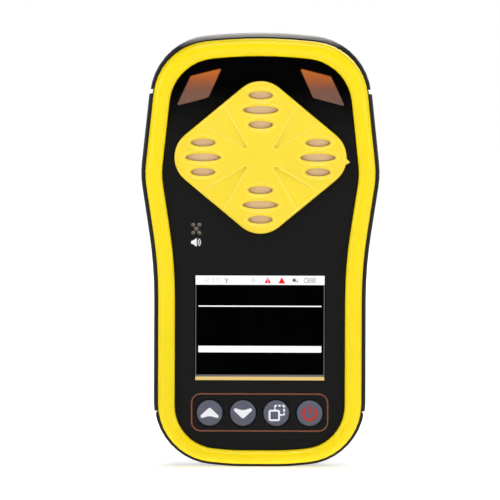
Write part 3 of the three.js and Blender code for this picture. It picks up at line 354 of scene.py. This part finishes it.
def mesh_steel():
    """Fine woven wire: darker gaps on a regular grid."""
    finish = Finish("mesh_steel_woven")
    across = finish.tree.nodes.new("ShaderNodeTexWave")
    across.bands_direction = "X"
    across.inputs["Scale"].default_value = FINE_LINES
    upward = finish.tree.nodes.new("ShaderNodeTexWave")
    upward.bands_direction = "Z"
    upward.inputs["Scale"].default_value = FINE_LINES
    finish.link(finish.place, across.inputs["Vector"])
    finish.link(finish.place, upward.inputs["Vector"])
    weave = finish.mix(1.0, across.outputs["Color"], upward.outputs["Color"], "MULTIPLY")
    finish.colour(finish.ramp(weave, (0.15, srgb(190, 176, 160)), (0.5, srgb(240, 230, 214))))
    finish.set(Metallic=0.1, Roughness=0.5)
    finish.bump(weave, 0.02 * MM)
    return finish.material


def brushed(name, colour, roughness, direction):
    """Brushed metal: long fine scratches along one axis, and larger smudges."""
    finish = Finish(name)
    scratches = finish.noise(0.12 * MM, detail=6, stretch=direction)
    smudges = finish.noise(8 * MM, detail=3)
    finish.colour(finish.ramp(smudges, (0.3, scaled(colour, 0.9)), (0.7, scaled(colour, 1.05))))
    finish.vary_roughness(scratches, roughness - 0.08, roughness + 0.1)
    finish.bump(scratches, 0.006 * MM)
    finish.set(Metallic=1.0)
    return finish.material


def clip_steel():
    return brushed("clip_steel_brushed", srgb(198, 200, 203), 0.3, (1, 1, 0.03))


def screw_steel():
    return brushed("screw_steel_black_oxide", srgb(70, 71, 74), 0.4, (0.3, 0.3, 0.3))


def battery_wrap():
    finish = moulded("battery_wrap_blue", srgb(44, 92, 166), 0.3, spread=0.06)
    finish.bump(finish.noise(6 * MM, detail=2, stretch=(1, 1, 0.2)), 0.15 * MM)
    finish.set(Coat_Weight=0.4, Coat_Roughness=0.1)
    return finish.material


def board_green():
    """Circuit board: solder resist with paler tracks, and dots of solder."""
    finish = Finish("board_green_resist")
    tracks = finish.tree.nodes.new("ShaderNodeTexBrick")
    tracks.inputs["Scale"].default_value = 160
    tracks.inputs["Mortar Size"].default_value = 0.03
    tracks.inputs["Color1"].default_value = srgb(22, 84, 48)
    tracks.inputs["Color2"].default_value = srgb(28, 98, 56)
    tracks.inputs["Mortar"].default_value = srgb(60, 140, 84)
    turned = finish.node("ShaderNodeMapping", Rotation=(math.pi / 2, 0, 0))
    finish.link(finish.place, turned.inputs["Vector"])
    finish.link(turned.outputs["Vector"], tracks.inputs["Vector"])
    solder = finish.ramp(finish.cells(2.2 * MM), (0.12, (1, 1, 1, 1)), (0.16, (0, 0, 0, 1)))
    finish.colour(finish.mix(solder, tracks.outputs["Color"], srgb(190, 190, 186)))
    finish.vary_roughness(finish.noise(1 * MM), 0.25, 0.45)
    finish.bump(finish.noise(0.8 * MM), 0.03 * MM)
    return finish.material


def display_glass():
    finish = Finish("display_glass_black")
    film = finish.noise(12 * MM, detail=3)
    finish.colour(finish.ramp(film, (0.3, srgb(0, 0, 0)), (0.7, srgb(4, 4, 5))))
    finish.vary_roughness(film, 0.1, 0.16)
    return finish.material


def window_clear():
    """The clear window: mostly see-through, with a thin gloss."""
    finish = Finish("window_clear_acrylic")
    film = finish.noise(15 * MM, detail=4)
    finish.colour(finish.ramp(film, (0.3, srgb(6, 6, 7)), (0.7, srgb(9, 9, 10))))
    finish.vary_roughness(film, 0.02, 0.05)
    finish.set(Alpha=0.04, IOR=1.3)
    return finish.material


def lit(name, colour, strength=1.0):
    """A lit area of the screen: fine picture lines across an even glow."""
    finish = Finish(name)
    lines = finish.tree.nodes.new("ShaderNodeTexWave")
    lines.bands_direction = "Z"
    lines.inputs["Scale"].default_value = FINE_LINES
    finish.link(finish.place, lines.inputs["Vector"])
    glow = finish.ramp(lines.outputs["Fac"], (0.0, scaled(colour, 0.94)), (1.0, colour))
    finish.colour(finish.ramp(lines.outputs["Fac"], (0.0, scaled(colour, 0.1)), (1.0, scaled(colour, 0.12))))
    finish.link(glow, finish.shader.inputs["Emission Color"])
    finish.set(Emission_Strength=strength, Roughness=0.6)
    return finish.material


SLOT_MAKERS = {
    "case_black": case_black, "yellow_overmould": yellow_overmould, "face_gloss": face_gloss,
    "window_clear": window_clear, "window_amber": window_amber, "cover_yellow": cover_yellow,
    "seal_grey": seal_grey, "filter_felt": filter_felt, "cell_body": cell_body,
    "key_plastic": key_plastic, "pill_carbon": pill_carbon, "board_green": board_green,
    "display_glass": display_glass, "backlight_white": backlight_white, "mesh_steel": mesh_steel,
    "battery_wrap": battery_wrap, "band_rubber": band_rubber, "clip_steel": clip_steel,
    "screw_steel": screw_steel,
}
finishes = {slot: maker() for slot, maker in SLOT_MAKERS.items()}


# ---------------------------------------------------------------- CAD nodes: edges and materials

EDGE_RADIUS = {
    "front_shell": 0.2, "rear_shell": 0.3, "bezel": 0.0, "face_panel": 0.06, "screen_lens": 0.05,
    "sensor_cover": 0.35, "alarm_lens_left": 0.04, "alarm_lens_right": 0.04, "side_rail_left": 0.25,
    "side_rail_right": 0.2, "top_bumper": 0.25, "bottom_bumper": 0.15, "port_flap": 0.15,
    "clip_bracket": 0.2, "clip_arm": 0.3,
}
SMALL_EDGE_RADIUS = 0.1
SHARP_ANGLE = math.radians(32)


def round_edges(node, radius):
    """Joins the CAD facets and rounds the sharp edges, by modifiers only."""
    mesh = node.data
    for name in ("custom_normal", "sharp_edge"):
        if name in mesh.attributes:
            mesh.attributes.remove(mesh.attributes[name])
    mesh.polygons.foreach_set("use_smooth", [True] * len(mesh.polygons))
    weld = node.modifiers.new("join_facets", "WELD")
    weld.merge_threshold = 0.002 * MM
    if radius > 0:
        bevel = node.modifiers.new("round_edges", "BEVEL")
        bevel.width = radius * MM
        bevel.segments = 3
        bevel.limit_method = "ANGLE"
        bevel.angle_limit = SHARP_ANGLE
        bevel.miter_outer = "MITER_ARC"
    normals = node.modifiers.new("even_shading", "WEIGHTED_NORMAL")
    normals.weight = 100


def finish_cad_nodes():
    slots = {entry["node"]: entry["material_slot"] for entry in frame["record"]["subparts"]}
    for name, node in frame["nodes"].items():
        node.data.materials.clear()
        node.data.materials.append(finishes[slots[name]])
        round_edges(node, EDGE_RADIUS.get(name, SMALL_EDGE_RADIUS))


finish_cad_nodes()


# ---------------------------------------------------------------- flat shapes in the XZ plane, in mm


def rounded(corners, steps=6):
    """Rounds a polygon's corners. A corner is (x, z, radius)."""
    points = []
    for index, (x, z, radius) in enumerate(corners):
        here = Vector((x, z))
        before = (Vector(corners[index - 1][:2]) - here).normalized()
        after = (Vector(corners[(index + 1) % len(corners)][:2]) - here).normalized()
        half = before.angle(after) / 2
        centre = here + (before + after).normalized() * (radius / math.sin(half))
        start = here + before * (radius / math.tan(half)) - centre
        end = here + after * (radius / math.tan(half)) - centre
        sweep = math.atan2(start.x * end.y - start.y * end.x, start.dot(end))
        for step in range(steps + 1):
            angle = sweep * step / steps
            turned = Vector((start.x * math.cos(angle) - start.y * math.sin(angle),
                             start.x * math.sin(angle) + start.y * math.cos(angle)))
            points.append(turned + centre)
    return points


def rectangle(x0, x1, z0, z1, radius=0.0):
    if radius == 0:
        return [Vector((x0, z0)), Vector((x1, z0)), Vector((x1, z1)), Vector((x0, z1))]
    return rounded([(x0, z0, radius), (x1, z0, radius), (x1, z1, radius), (x0, z1, radius)])


def stroke(start, end, width):
    """A straight line with round ends."""
    start, end = Vector(start), Vector(end)
    along = (end - start).normalized() * width / 2
    facing = math.atan2(along.y, along.x)
    points = []
    for centre, turn in ((end, -math.pi / 2), (start, math.pi / 2)):
        for step in range(7):
            angle = facing + turn + math.pi * step / 6
            points.append(centre + Vector((math.cos(angle), math.sin(angle))) * width / 2)
    return points


def arc_stroke(centre, radius, width, start, end, steps=28):
    """A curved line with round ends, from one angle to another, in degrees."""
    centre = Vector(centre)
    first, last = math.radians(start), math.radians(end)
    on = lambda angle: Vector((math.cos(angle), math.sin(angle)))
    outer = [centre + on(first + (last - first) * i / steps) * (radius + width / 2)
             for i in range(steps + 1)]
    inner = [centre + on(last + (first - last) * i / steps) * (radius - width / 2)
             for i in range(steps + 1)]
    cap = lambda at, facing: [centre + on(at) * radius + on(facing + math.pi * i / 6) * width / 2
                              for i in range(1, 6)]
    return outer + cap(last, last) + inner + cap(first, first + math.pi)


def circle(centre, radius, steps=32):
    turn = 2 * math.pi / steps
    return [Vector(centre) + Vector((math.cos(turn * i), math.sin(turn * i))) * radius
            for i in range(steps)]


def raised_vertex(made, point, surface, lift):
    """A vertex in metres, at a point in mm and that far in front of what carries it."""
    return made.verts.new((point.x * MM, (surface(point.x, point.y) - lift) * MM, point.y * MM))


def add_prism(made, outline, surface, thickness):
    """Adds one flat shape. surface(x, z) gives the y of what carries it, in mm."""
    front = [raised_vertex(made, p, surface, thickness) for p in outline]
    back = [raised_vertex(made, p, surface, -PRINT_SINK) for p in outline]
    made.faces.new(front)
    made.faces.new(reversed(back))
    for index in range(len(outline)):
        after = (index + 1) % len(outline)
        made.faces.new((front[index], back[index], back[after], front[after]))


def add_ring(made, outer, inner, surface, thickness):
    """Adds a flat shape with a hole. Both outlines have the same number of points."""
    loops = []
    corners = ((outer, thickness), (outer, -PRINT_SINK), (inner, -PRINT_SINK), (inner, thickness))
    for outline, lift in corners:
        loops.append([raised_vertex(made, p, surface, lift) for p in outline])
    for here, there in zip(loops, loops[1:] + loops[:1]):
        for index in range(len(outer)):
            after = (index + 1) % len(outer)
            made.faces.new((here[index], there[index], there[after], here[after]))


def new_object(made, name, material):
    """Turns a finished bmesh into a linked object."""
    mesh = bpy.data.meshes.new(name)
    made.to_mesh(mesh)
    made.free()
    mesh.materials.append(material)
    thing = bpy.data.objects.new(name, mesh)
    bpy.context.scene.collection.objects.link(thing)
    return thing


def finish_piece(made, name, material, body):
    bmesh.ops.recalc_face_normals(made, faces=made.faces)
    piece = new_object(made, name, material)
    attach(piece, body)
    return piece


def flat_piece(name, outlines, surface, thickness, material, body):
    made = bmesh.new()
    for outline in outlines:
        add_prism(made, outline, surface, thickness)
    return finish_piece(made, name, material, body)


def draped_piece(name, outlines, surface, thickness, material, body):
    """Like flat_piece, but cut up finely first, so that a broad shape follows a dome."""
    made = bmesh.new()
    for outline in outlines:
        made.faces.new([made.verts.new((p.x, 0, p.y)) for p in outline])
    bmesh.ops.triangulate(made, faces=made.faces)
    for _ in range(4):
        coarse = [edge for edge in made.edges if edge.calc_length() > DRAPE_EDGE]
        bmesh.ops.subdivide_edges(made, edges=coarse, cuts=1)
        bmesh.ops.triangulate(made, faces=made.faces)
    back = bmesh.ops.extrude_face_region(made, geom=made.faces[:])["geom"]
    for vert in made.verts:
        depth = surface(vert.co.x, vert.co.z) - thickness
        vert.co = Vector((vert.co.x, depth, vert.co.z)) * MM
    for item in back:
        if isinstance(item, bmesh.types.BMVert):
            item.co.y += (thickness + PRINT_SINK) * MM
    return finish_piece(made, name, material, body)


# ---------------------------------------------------------------- symbols on the keys


def key_centre(name):
    low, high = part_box(name)
    middle = (low + high) / 2 / MM
    return Vector((middle.x, middle.z))


def key_surface(name):
    """The y of a key's shallow dome, by how far a point is from its centre."""
    centre = key_centre(name)
    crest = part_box(name)[0].y / MM
    flat_radius, slope = 1.6, 0.1
    return lambda x, z: crest + max((Vector((x, z)) - centre).length - flat_radius, 0) * slope - 0.02


def arrow(centre, upwards):
    turn = 1 if upwards else -1
    corners = [(0, 1.75, 0.5), (-2.8, -0.85, 0.35), (-2.4, -1.6, 0.35), (0, -0.5, 4.5),
               (2.4, -1.6, 0.35), (2.8, -0.85, 0.35)]
    return [centre + Vector((p.x, p.y * turn)) for p in rounded(corners)]


def arc_band(made, centre, radius, width, start, end, surface, thickness, steps=24):
    """A curved line with square ends, from one angle to another, in degrees."""
    rows = []
    for step in range(steps + 1):
        angle = math.radians(start + (end - start) * step / steps)
        facing = Vector((math.cos(angle), math.sin(angle)))
        outer = centre + facing * (radius + width / 2)
        inner = centre + facing * (radius - width / 2)
        corners = ((outer, thickness), (outer, -PRINT_SINK), (inner, -PRINT_SINK), (inner, thickness))
        rows.append([raised_vertex(made, point, surface, lift) for point, lift in corners])
    for here, there in zip(rows, rows[1:]):
        for index in range(4):
            after = (index + 1) % 4
            made.faces.new((here[index], there[index], there[after], here[after]))
    made.faces.new(rows[0])
    made.faces.new(reversed(rows[-1]))


def make_key_symbols():
    white, red = symbol_white(), symbol_red()
    thick = PRINT_THICKNESS
    for name, upwards in (("key_up", True), ("key_down", False)):
        outline = arrow(key_centre(name), upwards)
        draped_piece(f"symbol_{name}", [outline], key_surface(name), thick, white, f"{name}_body")
    make_menu_symbol(white, thick)
    make_power_symbol(red, thick)


def make_menu_symbol(material, thick):
    """A rounded square in front of a dashed one."""
    key = key_centre("key_menu")
    surface = key_surface("key_menu")
    made = bmesh.new()
    front = key + Vector((-0.6, -0.65))
    square = lambda half, radius: rectangle(
        front.x - half, front.x + half, front.y - half, front.y + half, radius)
    add_ring(made, square(1.7, 0.6), square(1.15, 0.2), surface, thick)
    behind = key + Vector((0.96, 0.9))
    half, radius, width = 1.38, 0.45, 0.6
    for x, z, start in ((-1, 1, 90), (1, 1, 0), (1, -1, 270)):
        corner = behind + Vector((x, z)) * (half - radius)
        arc_band(made, corner, radius, width, start - 12, start + 102, surface, thick, 8)
    dashes = [((-0.1, half), (0.1, half)), ((half, -0.2), (half, 0.2)), ((-half, 0.1), (-half, 0.3)),
              ((0.3, -half), (0.45, -half))]
    for start, end in dashes:
        add_prism(made, stroke(behind + Vector(start), behind + Vector(end), width), surface, thick)
    finish_piece(made, "symbol_key_menu", material, "key_menu_body")


def make_power_symbol(material, thick):
    """An open ring and the upright bar in its gap."""
    key = key_centre("key_power")
    surface = key_surface("key_power")
    made = bmesh.new()
    arc_band(made, key, 1.95, 0.8, 134, 406, surface, thick)
    finish_piece(made, "symbol_power_ring", material, "key_power_body")
    bar = stroke(key + Vector((0, 2.15)), key + Vector((0, 0.05)), 0.66)
    draped_piece("symbol_power_bar", [bar], surface, thick, material, "key_power_body")


make_key_symbols()


# ---------------------------------------------------------------- prints on the face


def panel_surface(x, z):
    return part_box("face_panel")[0].y / MM


def make_face_prints():
    keys = [key_centre(name) for name in ("key_up", "key_power")]
    middle = (keys[0] + keys[1]) / 2 + Vector((0, FRAME_RISE))
    half_width, half_height, corner, line = 20.6, 5.75, 2.9, 0.4
    made = bmesh.new()
    frame_outline = lambda inset: rectangle(
        middle.x - half_width + inset, middle.x + half_width - inset,
        middle.y - half_height + inset, middle.y + half_height - inset, corner - inset)
    add_ring(made, frame_outline(0), frame_outline(line), panel_surface, PRINT_THICKNESS)
    finish_piece(made, "print_key_frame", line_brown(), "case")
    low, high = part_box("buzzer_mesh")
    grille = (low + high) / 2 / MM
    flat_piece("print_speaker", speaker_outlines(Vector((grille.x, grille.z - 4.0))), panel_surface,
               PRINT_THICKNESS, symbol_white(), "case")


def speaker_outlines(centre):
    """A loudspeaker symbol: a small box with a horn, and two sound arcs to its right."""
    horn = [(-1.5, -0.45), (-1.0, -0.5), (0.15, -1.3), (0.15, 1.3), (-1.0, 0.5), (-1.5, 0.45)]
    body = [centre + Vector(point) for point in horn]
    near = arc_stroke(centre, 0.75, 0.24, -50, 50, 12)
    far = arc_stroke(centre, 1.3, 0.24, -50, 50, 12)
    return [body, near, far]


make_face_prints()


# ---------------------------------------------------------------- screen content


def screen_surface(x, z):
    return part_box("lcd_glass")[0].y / MM - 0.02


def show(name, outlines, material):
    flat_piece(name, outlines, screen_surface, SCREEN_LIFT, material, "case")


def show_over(name, outlines, material):
    """Content drawn over the lit status bar."""
    surface = lambda x, z: screen_surface(x, z) - 1.5 * SCREEN_LIFT
    flat_piece(name, outlines, surface, SCREEN_LIFT / 2, material, "case")


def digit_strokes(digit, x, z, width, height):
    """A seven-segment digit, its lower left corner at x, z."""
    top, middle, bottom = z + height, z + height / 2, z
    left, right = x, x + width
    segments = {
        "a": ((left, top), (right, top)), "b": ((right, top), (right, middle)),
        "c": ((right, middle), (right, bottom)), "d": ((left, bottom), (right, bottom)),
        "e": ((left, middle), (left, bottom)), "f": ((left, top), (left, middle)),
        "g": ((left, middle), (right, middle)),
    }
    shapes = {"0": "abcdef", "1": "bc", "2": "abged"}
    return [stroke(*segments[key], 0.14) for key in shapes[digit]]


def make_screen():
    low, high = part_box("screen_lens")
    left, right = low.x / MM, high.x / MM
    bottom, top = low.z / MM, high.z / MM
    white = lit("screen_white", srgb(255, 255, 255), 1.1)
    bar_height, margin, side_line, strip, line_top = 2.75, 0.9, 0.22, 1.05, 1.65
    show("screen_status_bar", [rectangle(left, right, top - bar_height, top)], white)
    show("screen_thin_line", [rectangle(left + margin, right - margin, bottom + 22.05, bottom + 22.4)],
         white)
    show("screen_thick_bar", [rectangle(left + margin, right - margin, bottom + 8.35, bottom + 10.3)],
         white)
    grey = lit("screen_grey", srgb(116, 108, 112), 1.0)
    show("screen_bottom_line", [rectangle(left, right, bottom + strip, bottom + line_top)], grey)
    sides = [rectangle(left, left + side_line, bottom + line_top, top - bar_height),
             rectangle(right - side_line, right, bottom + line_top, top - bar_height)]
    show("screen_side_lines", sides, grey)
    tan = lit("screen_tan", srgb(236, 206, 128), 1.0)
    show("screen_tan_strip", [rectangle(left, right, bottom, bottom + strip)], tan)
    make_status_icons(top - bar_height / 2)


def make_status_icons(z):
    faint = lit("screen_faint_grey", srgb(196, 198, 200), 1.0)
    dark = lit("screen_dark_grey", srgb(70, 74, 80), 1.0)
    red = lit("screen_red", srgb(255, 16, 20), 1.0)
    white = lit("screen_icon_white", srgb(255, 255, 255), 1.0)
    clock = []
    for digit, x in (("1", -17.4), ("2", -16.2), ("0", -14.4), ("0", -13.0)):
        clock += digit_strokes(digit, x, z - 0.6, 0.8, 1.2)
    clock += [circle((-15.0, z + 0.3), 0.1, 10), circle((-15.0, z - 0.3), 0.1, 10)]
    show_over("screen_clock", clock, faint)
    show_over("screen_port_icon", port_icon(-10.1, z), dark)
    spokes = [stroke((-2.0 + 0.25 * math.cos(a), z + 0.25 * math.sin(a)),
                     (-2.0 + 0.7 * math.cos(a), z + 0.7 * math.sin(a)), 0.2)
              for a in (math.pi * step / 3 for step in range(6))]
    show_over("screen_fan_icon", spokes, faint)
    triangle = lambda x: rounded([(x - 1.0, z - 0.85, 0.1), (x + 1.0, z - 0.85, 0.1), (x, z + 0.95, 0.1)], 3)
    show_over("screen_warning_icon", [triangle(2.3)], red)
    show_over("screen_alarm_icon", [triangle(6.5), rectangle(5.4, 7.6, z - 0.95, z - 0.75)], red)
    surface = lambda x, zz: screen_surface(x, zz) - 2.2 * SCREEN_LIFT
    mark = [stroke((2.3, z + 0.35), (2.3, z - 0.2), 0.2), circle((2.3, z - 0.55), 0.13, 10)]
    flat_piece("screen_warning_mark", mark, surface, 0.02, white, "case")
    speaker = [(9.7, -0.3), (10.1, -0.3), (10.6, -0.75), (10.6, 0.75), (10.1, 0.3), (9.7, 0.3)]
    horn = [Vector((x, z + up)) for x, up in speaker]
    slash = stroke((9.8, z + 0.7), (11.4, z - 0.75), 0.16)
    wave = arc_stroke((10.6, z), 0.6, 0.15, -45, 45, 8)
    show_over("screen_mute_icon", [horn, slash, wave], dark)
    make_battery_icon(14.9, z, dark, faint)


def port_icon(x, z):
    """A three-pronged port symbol."""
    return [stroke((x, z + 0.75), (x, z - 0.75), 0.14), circle((x, z - 0.75), 0.2, 12),
            stroke((x, z - 0.35), (x + 0.45, z + 0.15), 0.12), circle((x + 0.45, z + 0.3), 0.14, 10),
            stroke((x, z - 0.15), (x - 0.45, z + 0.3), 0.12), circle((x - 0.45, z + 0.42), 0.14, 10)]


def make_battery_icon(x, z, outline_material, fill_material):
    surface = lambda px, pz: screen_surface(px, pz) - 1.5 * SCREEN_LIFT
    body = lambda inset: rounded([
        (x - 1.9 + inset, z, 0.1), (x - 1.35 + inset, z - 0.75 + inset, 0.15),
        (x + 1.7 - inset, z - 0.75 + inset, 0.15), (x + 1.7 - inset, z + 0.75 - inset, 0.15),
        (x - 1.35 + inset, z + 0.75 - inset, 0.15),
    ], 3)
    made = bmesh.new()
    add_ring(made, body(0), body(0.14), surface, SCREEN_LIFT / 2)
    finish_piece(made, "screen_battery_icon", outline_material, "case")
    cells = [rectangle(x - 0.9 + 0.8 * i, x - 0.25 + 0.8 * i, z - 0.38, z + 0.38) for i in range(3)]
    show_over("screen_battery_charge", cells, fill_material)


make_screen()


# ---------------------------------------------------------------- the clip's coiled spring


def tube(name, path, radius, sides, material):
    """A wire of even thickness along a path of points."""
    made = bmesh.new()
    loops = []
    guide = Vector((0, 0, 1))
    for index, point in enumerate(path):
        ahead = path[min(index + 1, len(path) - 1)]
        behind = path[max(index - 1, 0)]
        tangent = (ahead - behind).normalized()
        side = guide.cross(tangent)
        if side.length < 0.1:
            side = Vector((1, 0, 0)).cross(tangent)
        side.normalize()
        guide = tangent.cross(side).normalized()
        loops.append([made.verts.new(point + (side * math.cos(2 * math.pi * k / sides)
                                              + guide * math.sin(2 * math.pi * k / sides)) * radius)
                      for k in range(sides)])
    for here, there in zip(loops, loops[1:]):
        for k in range(sides):
            made.faces.new((here[k], here[(k + 1) % sides], there[(k + 1) % sides], there[k]))
    made.faces.new(loops[0])
    made.faces.new(reversed(loops[-1]))
    bmesh.ops.recalc_face_normals(made, faces=made.faces)
    piece = new_object(made, name, material)
    piece.data.polygons.foreach_set("use_smooth", [True] * len(piece.data.polygons))
    return piece


def make_clip_spring():
    """Coils round the pin, and a leg at each end: one on the bracket, one on the arm."""
    hinge = next(joint for joint in frame["joints"] if joint["name"] == "clip_swing")
    axis = Vector(hinge["pos_m"])
    wire, coil, reach, turns, leg = 0.4 * MM, 2.05 * MM, 4.4 * MM, 9.5, 10 * MM
    steps_per_turn = 16
    path = [axis + Vector((reach, -coil, leg))]
    path += [axis + Vector((reach, -coil, leg * share)) for share in (0.7, 0.4, 0.15)]
    steps = int(turns * steps_per_turn)
    for step in range(steps + 1):
        angle = math.pi + 2 * math.pi * turns * step / steps
        across = reach - 2 * reach * step / steps
        path.append(axis + Vector((across, math.cos(angle) * coil, math.sin(angle) * coil)))
    path += [axis + Vector((-reach, coil, leg * share)) for share in (0.15, 0.4, 0.7, 1.0)]
    piece = tube("clip_spring_coil", path, wire, 10, finishes["clip_steel"])
    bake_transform(piece)
    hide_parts("clip_spring")


make_clip_spring()


# ---------------------------------------------------------------- studio: floor, backdrop, light, camera


def stage_material(name, build):
    material = bpy.data.materials.new(name)
    material.use_nodes = True
    build(material.node_tree)
    return material


def floor_nodes(tree):
    """Pale floor that glows, more so far away, so that it melts into the backdrop."""
    shader = tree.nodes["Principled BSDF"]
    place = tree.nodes.new("ShaderNodeTexCoord")
    away = tree.nodes.new("ShaderNodeVectorMath")
    away.operation = "LENGTH"
    glow = tree.nodes.new("ShaderNodeMapRange")
    near, far = FLOOR_GLOW
    for key, value in (("From Min", 0.1), ("From Max", 1.2), ("To Min", near), ("To Max", far)):
        glow.inputs[key].default_value = value
    tree.links.new(place.outputs["Object"], away.inputs[0])
    tree.links.new(away.outputs["Value"], glow.inputs["Value"])
    tree.links.new(glow.outputs["Result"], shader.inputs["Emission Strength"])
    shader.inputs["Base Color"].default_value = (0.86, 0.86, 0.86, 1)
    shader.inputs["Emission Color"].default_value = (1, 1, 1, 1)
    shader.inputs["Roughness"].default_value = 0.9


def backdrop_nodes(tree):
    tree.nodes.clear()
    glow = tree.nodes.new("ShaderNodeEmission")
    out = tree.nodes.new("ShaderNodeOutputMaterial")
    tree.links.new(glow.outputs["Emission"], out.inputs["Surface"])


def add_stage(name, fill, material):
    made = bmesh.new()
    fill(made)
    thing = new_object(made, name, material)
    thing.visible_glossy = False
    return thing


def make_stage():
    reach = 6.0
    floor = add_stage(
        "floor", lambda made: bmesh.ops.create_circle(made, cap_ends=True, segments=64, radius=reach),
        stage_material("floor_pale", floor_nodes))
    floor.visible_shadow = False
    backdrop = add_stage(
        "backdrop", lambda made: bmesh.ops.create_uvsphere(made, u_segments=48, v_segments=24, radius=reach),
        stage_material("backdrop_white", backdrop_nodes))
    backdrop.visible_diffuse = False
    backdrop.visible_shadow = False
    backdrop.visible_transmission = False


def make_world():
    """White towards the backdrop, dim towards the camera, with a slightly lighter lower half."""
    world = bpy.data.worlds.new("studio_air")
    world.use_nodes = True
    bpy.context.scene.world = world
    tree = world.node_tree
    light = tree.nodes["Background"]
    direction = tree.nodes.new("ShaderNodeTexCoord")
    split = tree.nodes.new("ShaderNodeSeparateXYZ")
    tree.links.new(direction.outputs["Generated"], split.inputs["Vector"])

    def spread(source, start, end, low, high):
        made = tree.nodes.new("ShaderNodeMapRange")
        made.interpolation_type = "SMOOTHSTEP"
        for key, value in (("From Min", start), ("From Max", end), ("To Min", low), ("To Max", high)):
            made.inputs[key].default_value = value
        tree.links.new(source, made.inputs["Value"])
        return made.outputs["Result"]

    behind = spread(split.outputs["Y"], -0.75, 0.1, 0.0, 0.9)
    below = spread(split.outputs["Z"], -0.02, -0.005, 0.13, 0.0)
    lit = tree.nodes.new("ShaderNodeMath")
    tree.links.new(behind, lit.inputs[0])
    tree.links.new(below, lit.inputs[1])
    total = tree.nodes.new("ShaderNodeMath")
    total.inputs[1].default_value = DARKEST_AIR
    tree.links.new(lit.outputs["Value"], total.inputs[0])
    tree.links.new(total.outputs["Value"], light.inputs["Strength"])


def add_softbox(name, place, size, power, mirrored=True):
    """A rectangular lamp facing the object. One that is not mirrored shows in no gloss."""
    data = bpy.data.lights.new(name, "AREA")
    data.shape = "RECTANGLE"
    data.size, data.size_y = size
    data.energy = power
    lamp = bpy.data.objects.new(name, data)
    lamp.location = place
    lamp.visible_glossy = mirrored
    target = Vector((0, 0, 0.065))
    lamp.rotation_euler = (target - Vector(place)).to_track_quat("-Z", "Y").to_euler()
    bpy.context.scene.collection.objects.link(lamp)


def make_lights():
    add_softbox("softbox_left", (-1.5, -0.75, 0.7), (0.7, 1.3), 10.2)
    add_softbox("softbox_right", (1.5, -0.75, 0.7), (0.7, 1.3), 9.8)
    add_softbox("softbox_top", (0, -0.6, 1.6), (1.4, 0.7), 13)
    add_softbox("softbox_back", (0.6, 1.4, 1.1), (1.2, 1.2), 14)
    add_softbox("fill_front", (0, -2.2, 0.5), (2.4, 1.8), 1.2, mirrored=False)


def make_camera():
    front = cad_box[0][1]
    height = (cad_box[1][2] - cad_box[0][2]) * AIM_HEIGHT_SHARE
    aim = Vector((AIM_X, front, height))
    back = Vector((0, -math.cos(CAMERA_ELEVATION), math.sin(CAMERA_ELEVATION)))
    data = bpy.data.cameras.new("studio_camera")
    data.sensor_width = SENSOR_WIDTH
    data.lens = SENSOR_WIDTH * CAMERA_DISTANCE / PICTURE_WIDTH
    data.clip_start = 0.05
    data.clip_end = 50
    camera = bpy.data.objects.new("studio_camera", data)
    camera.location = aim + back * CAMERA_DISTANCE
    level = (-back).to_track_quat("-Z", "Y")
    camera.rotation_euler = (level @ Quaternion((0, 0, 1), CAMERA_ROLL)).to_euler()
    bpy.context.scene.collection.objects.link(camera)
    bpy.context.scene.camera = camera


make_stage()
make_world()
make_lights()
make_camera()
bpy.context.scene.view_settings.view_transform = "Standard"
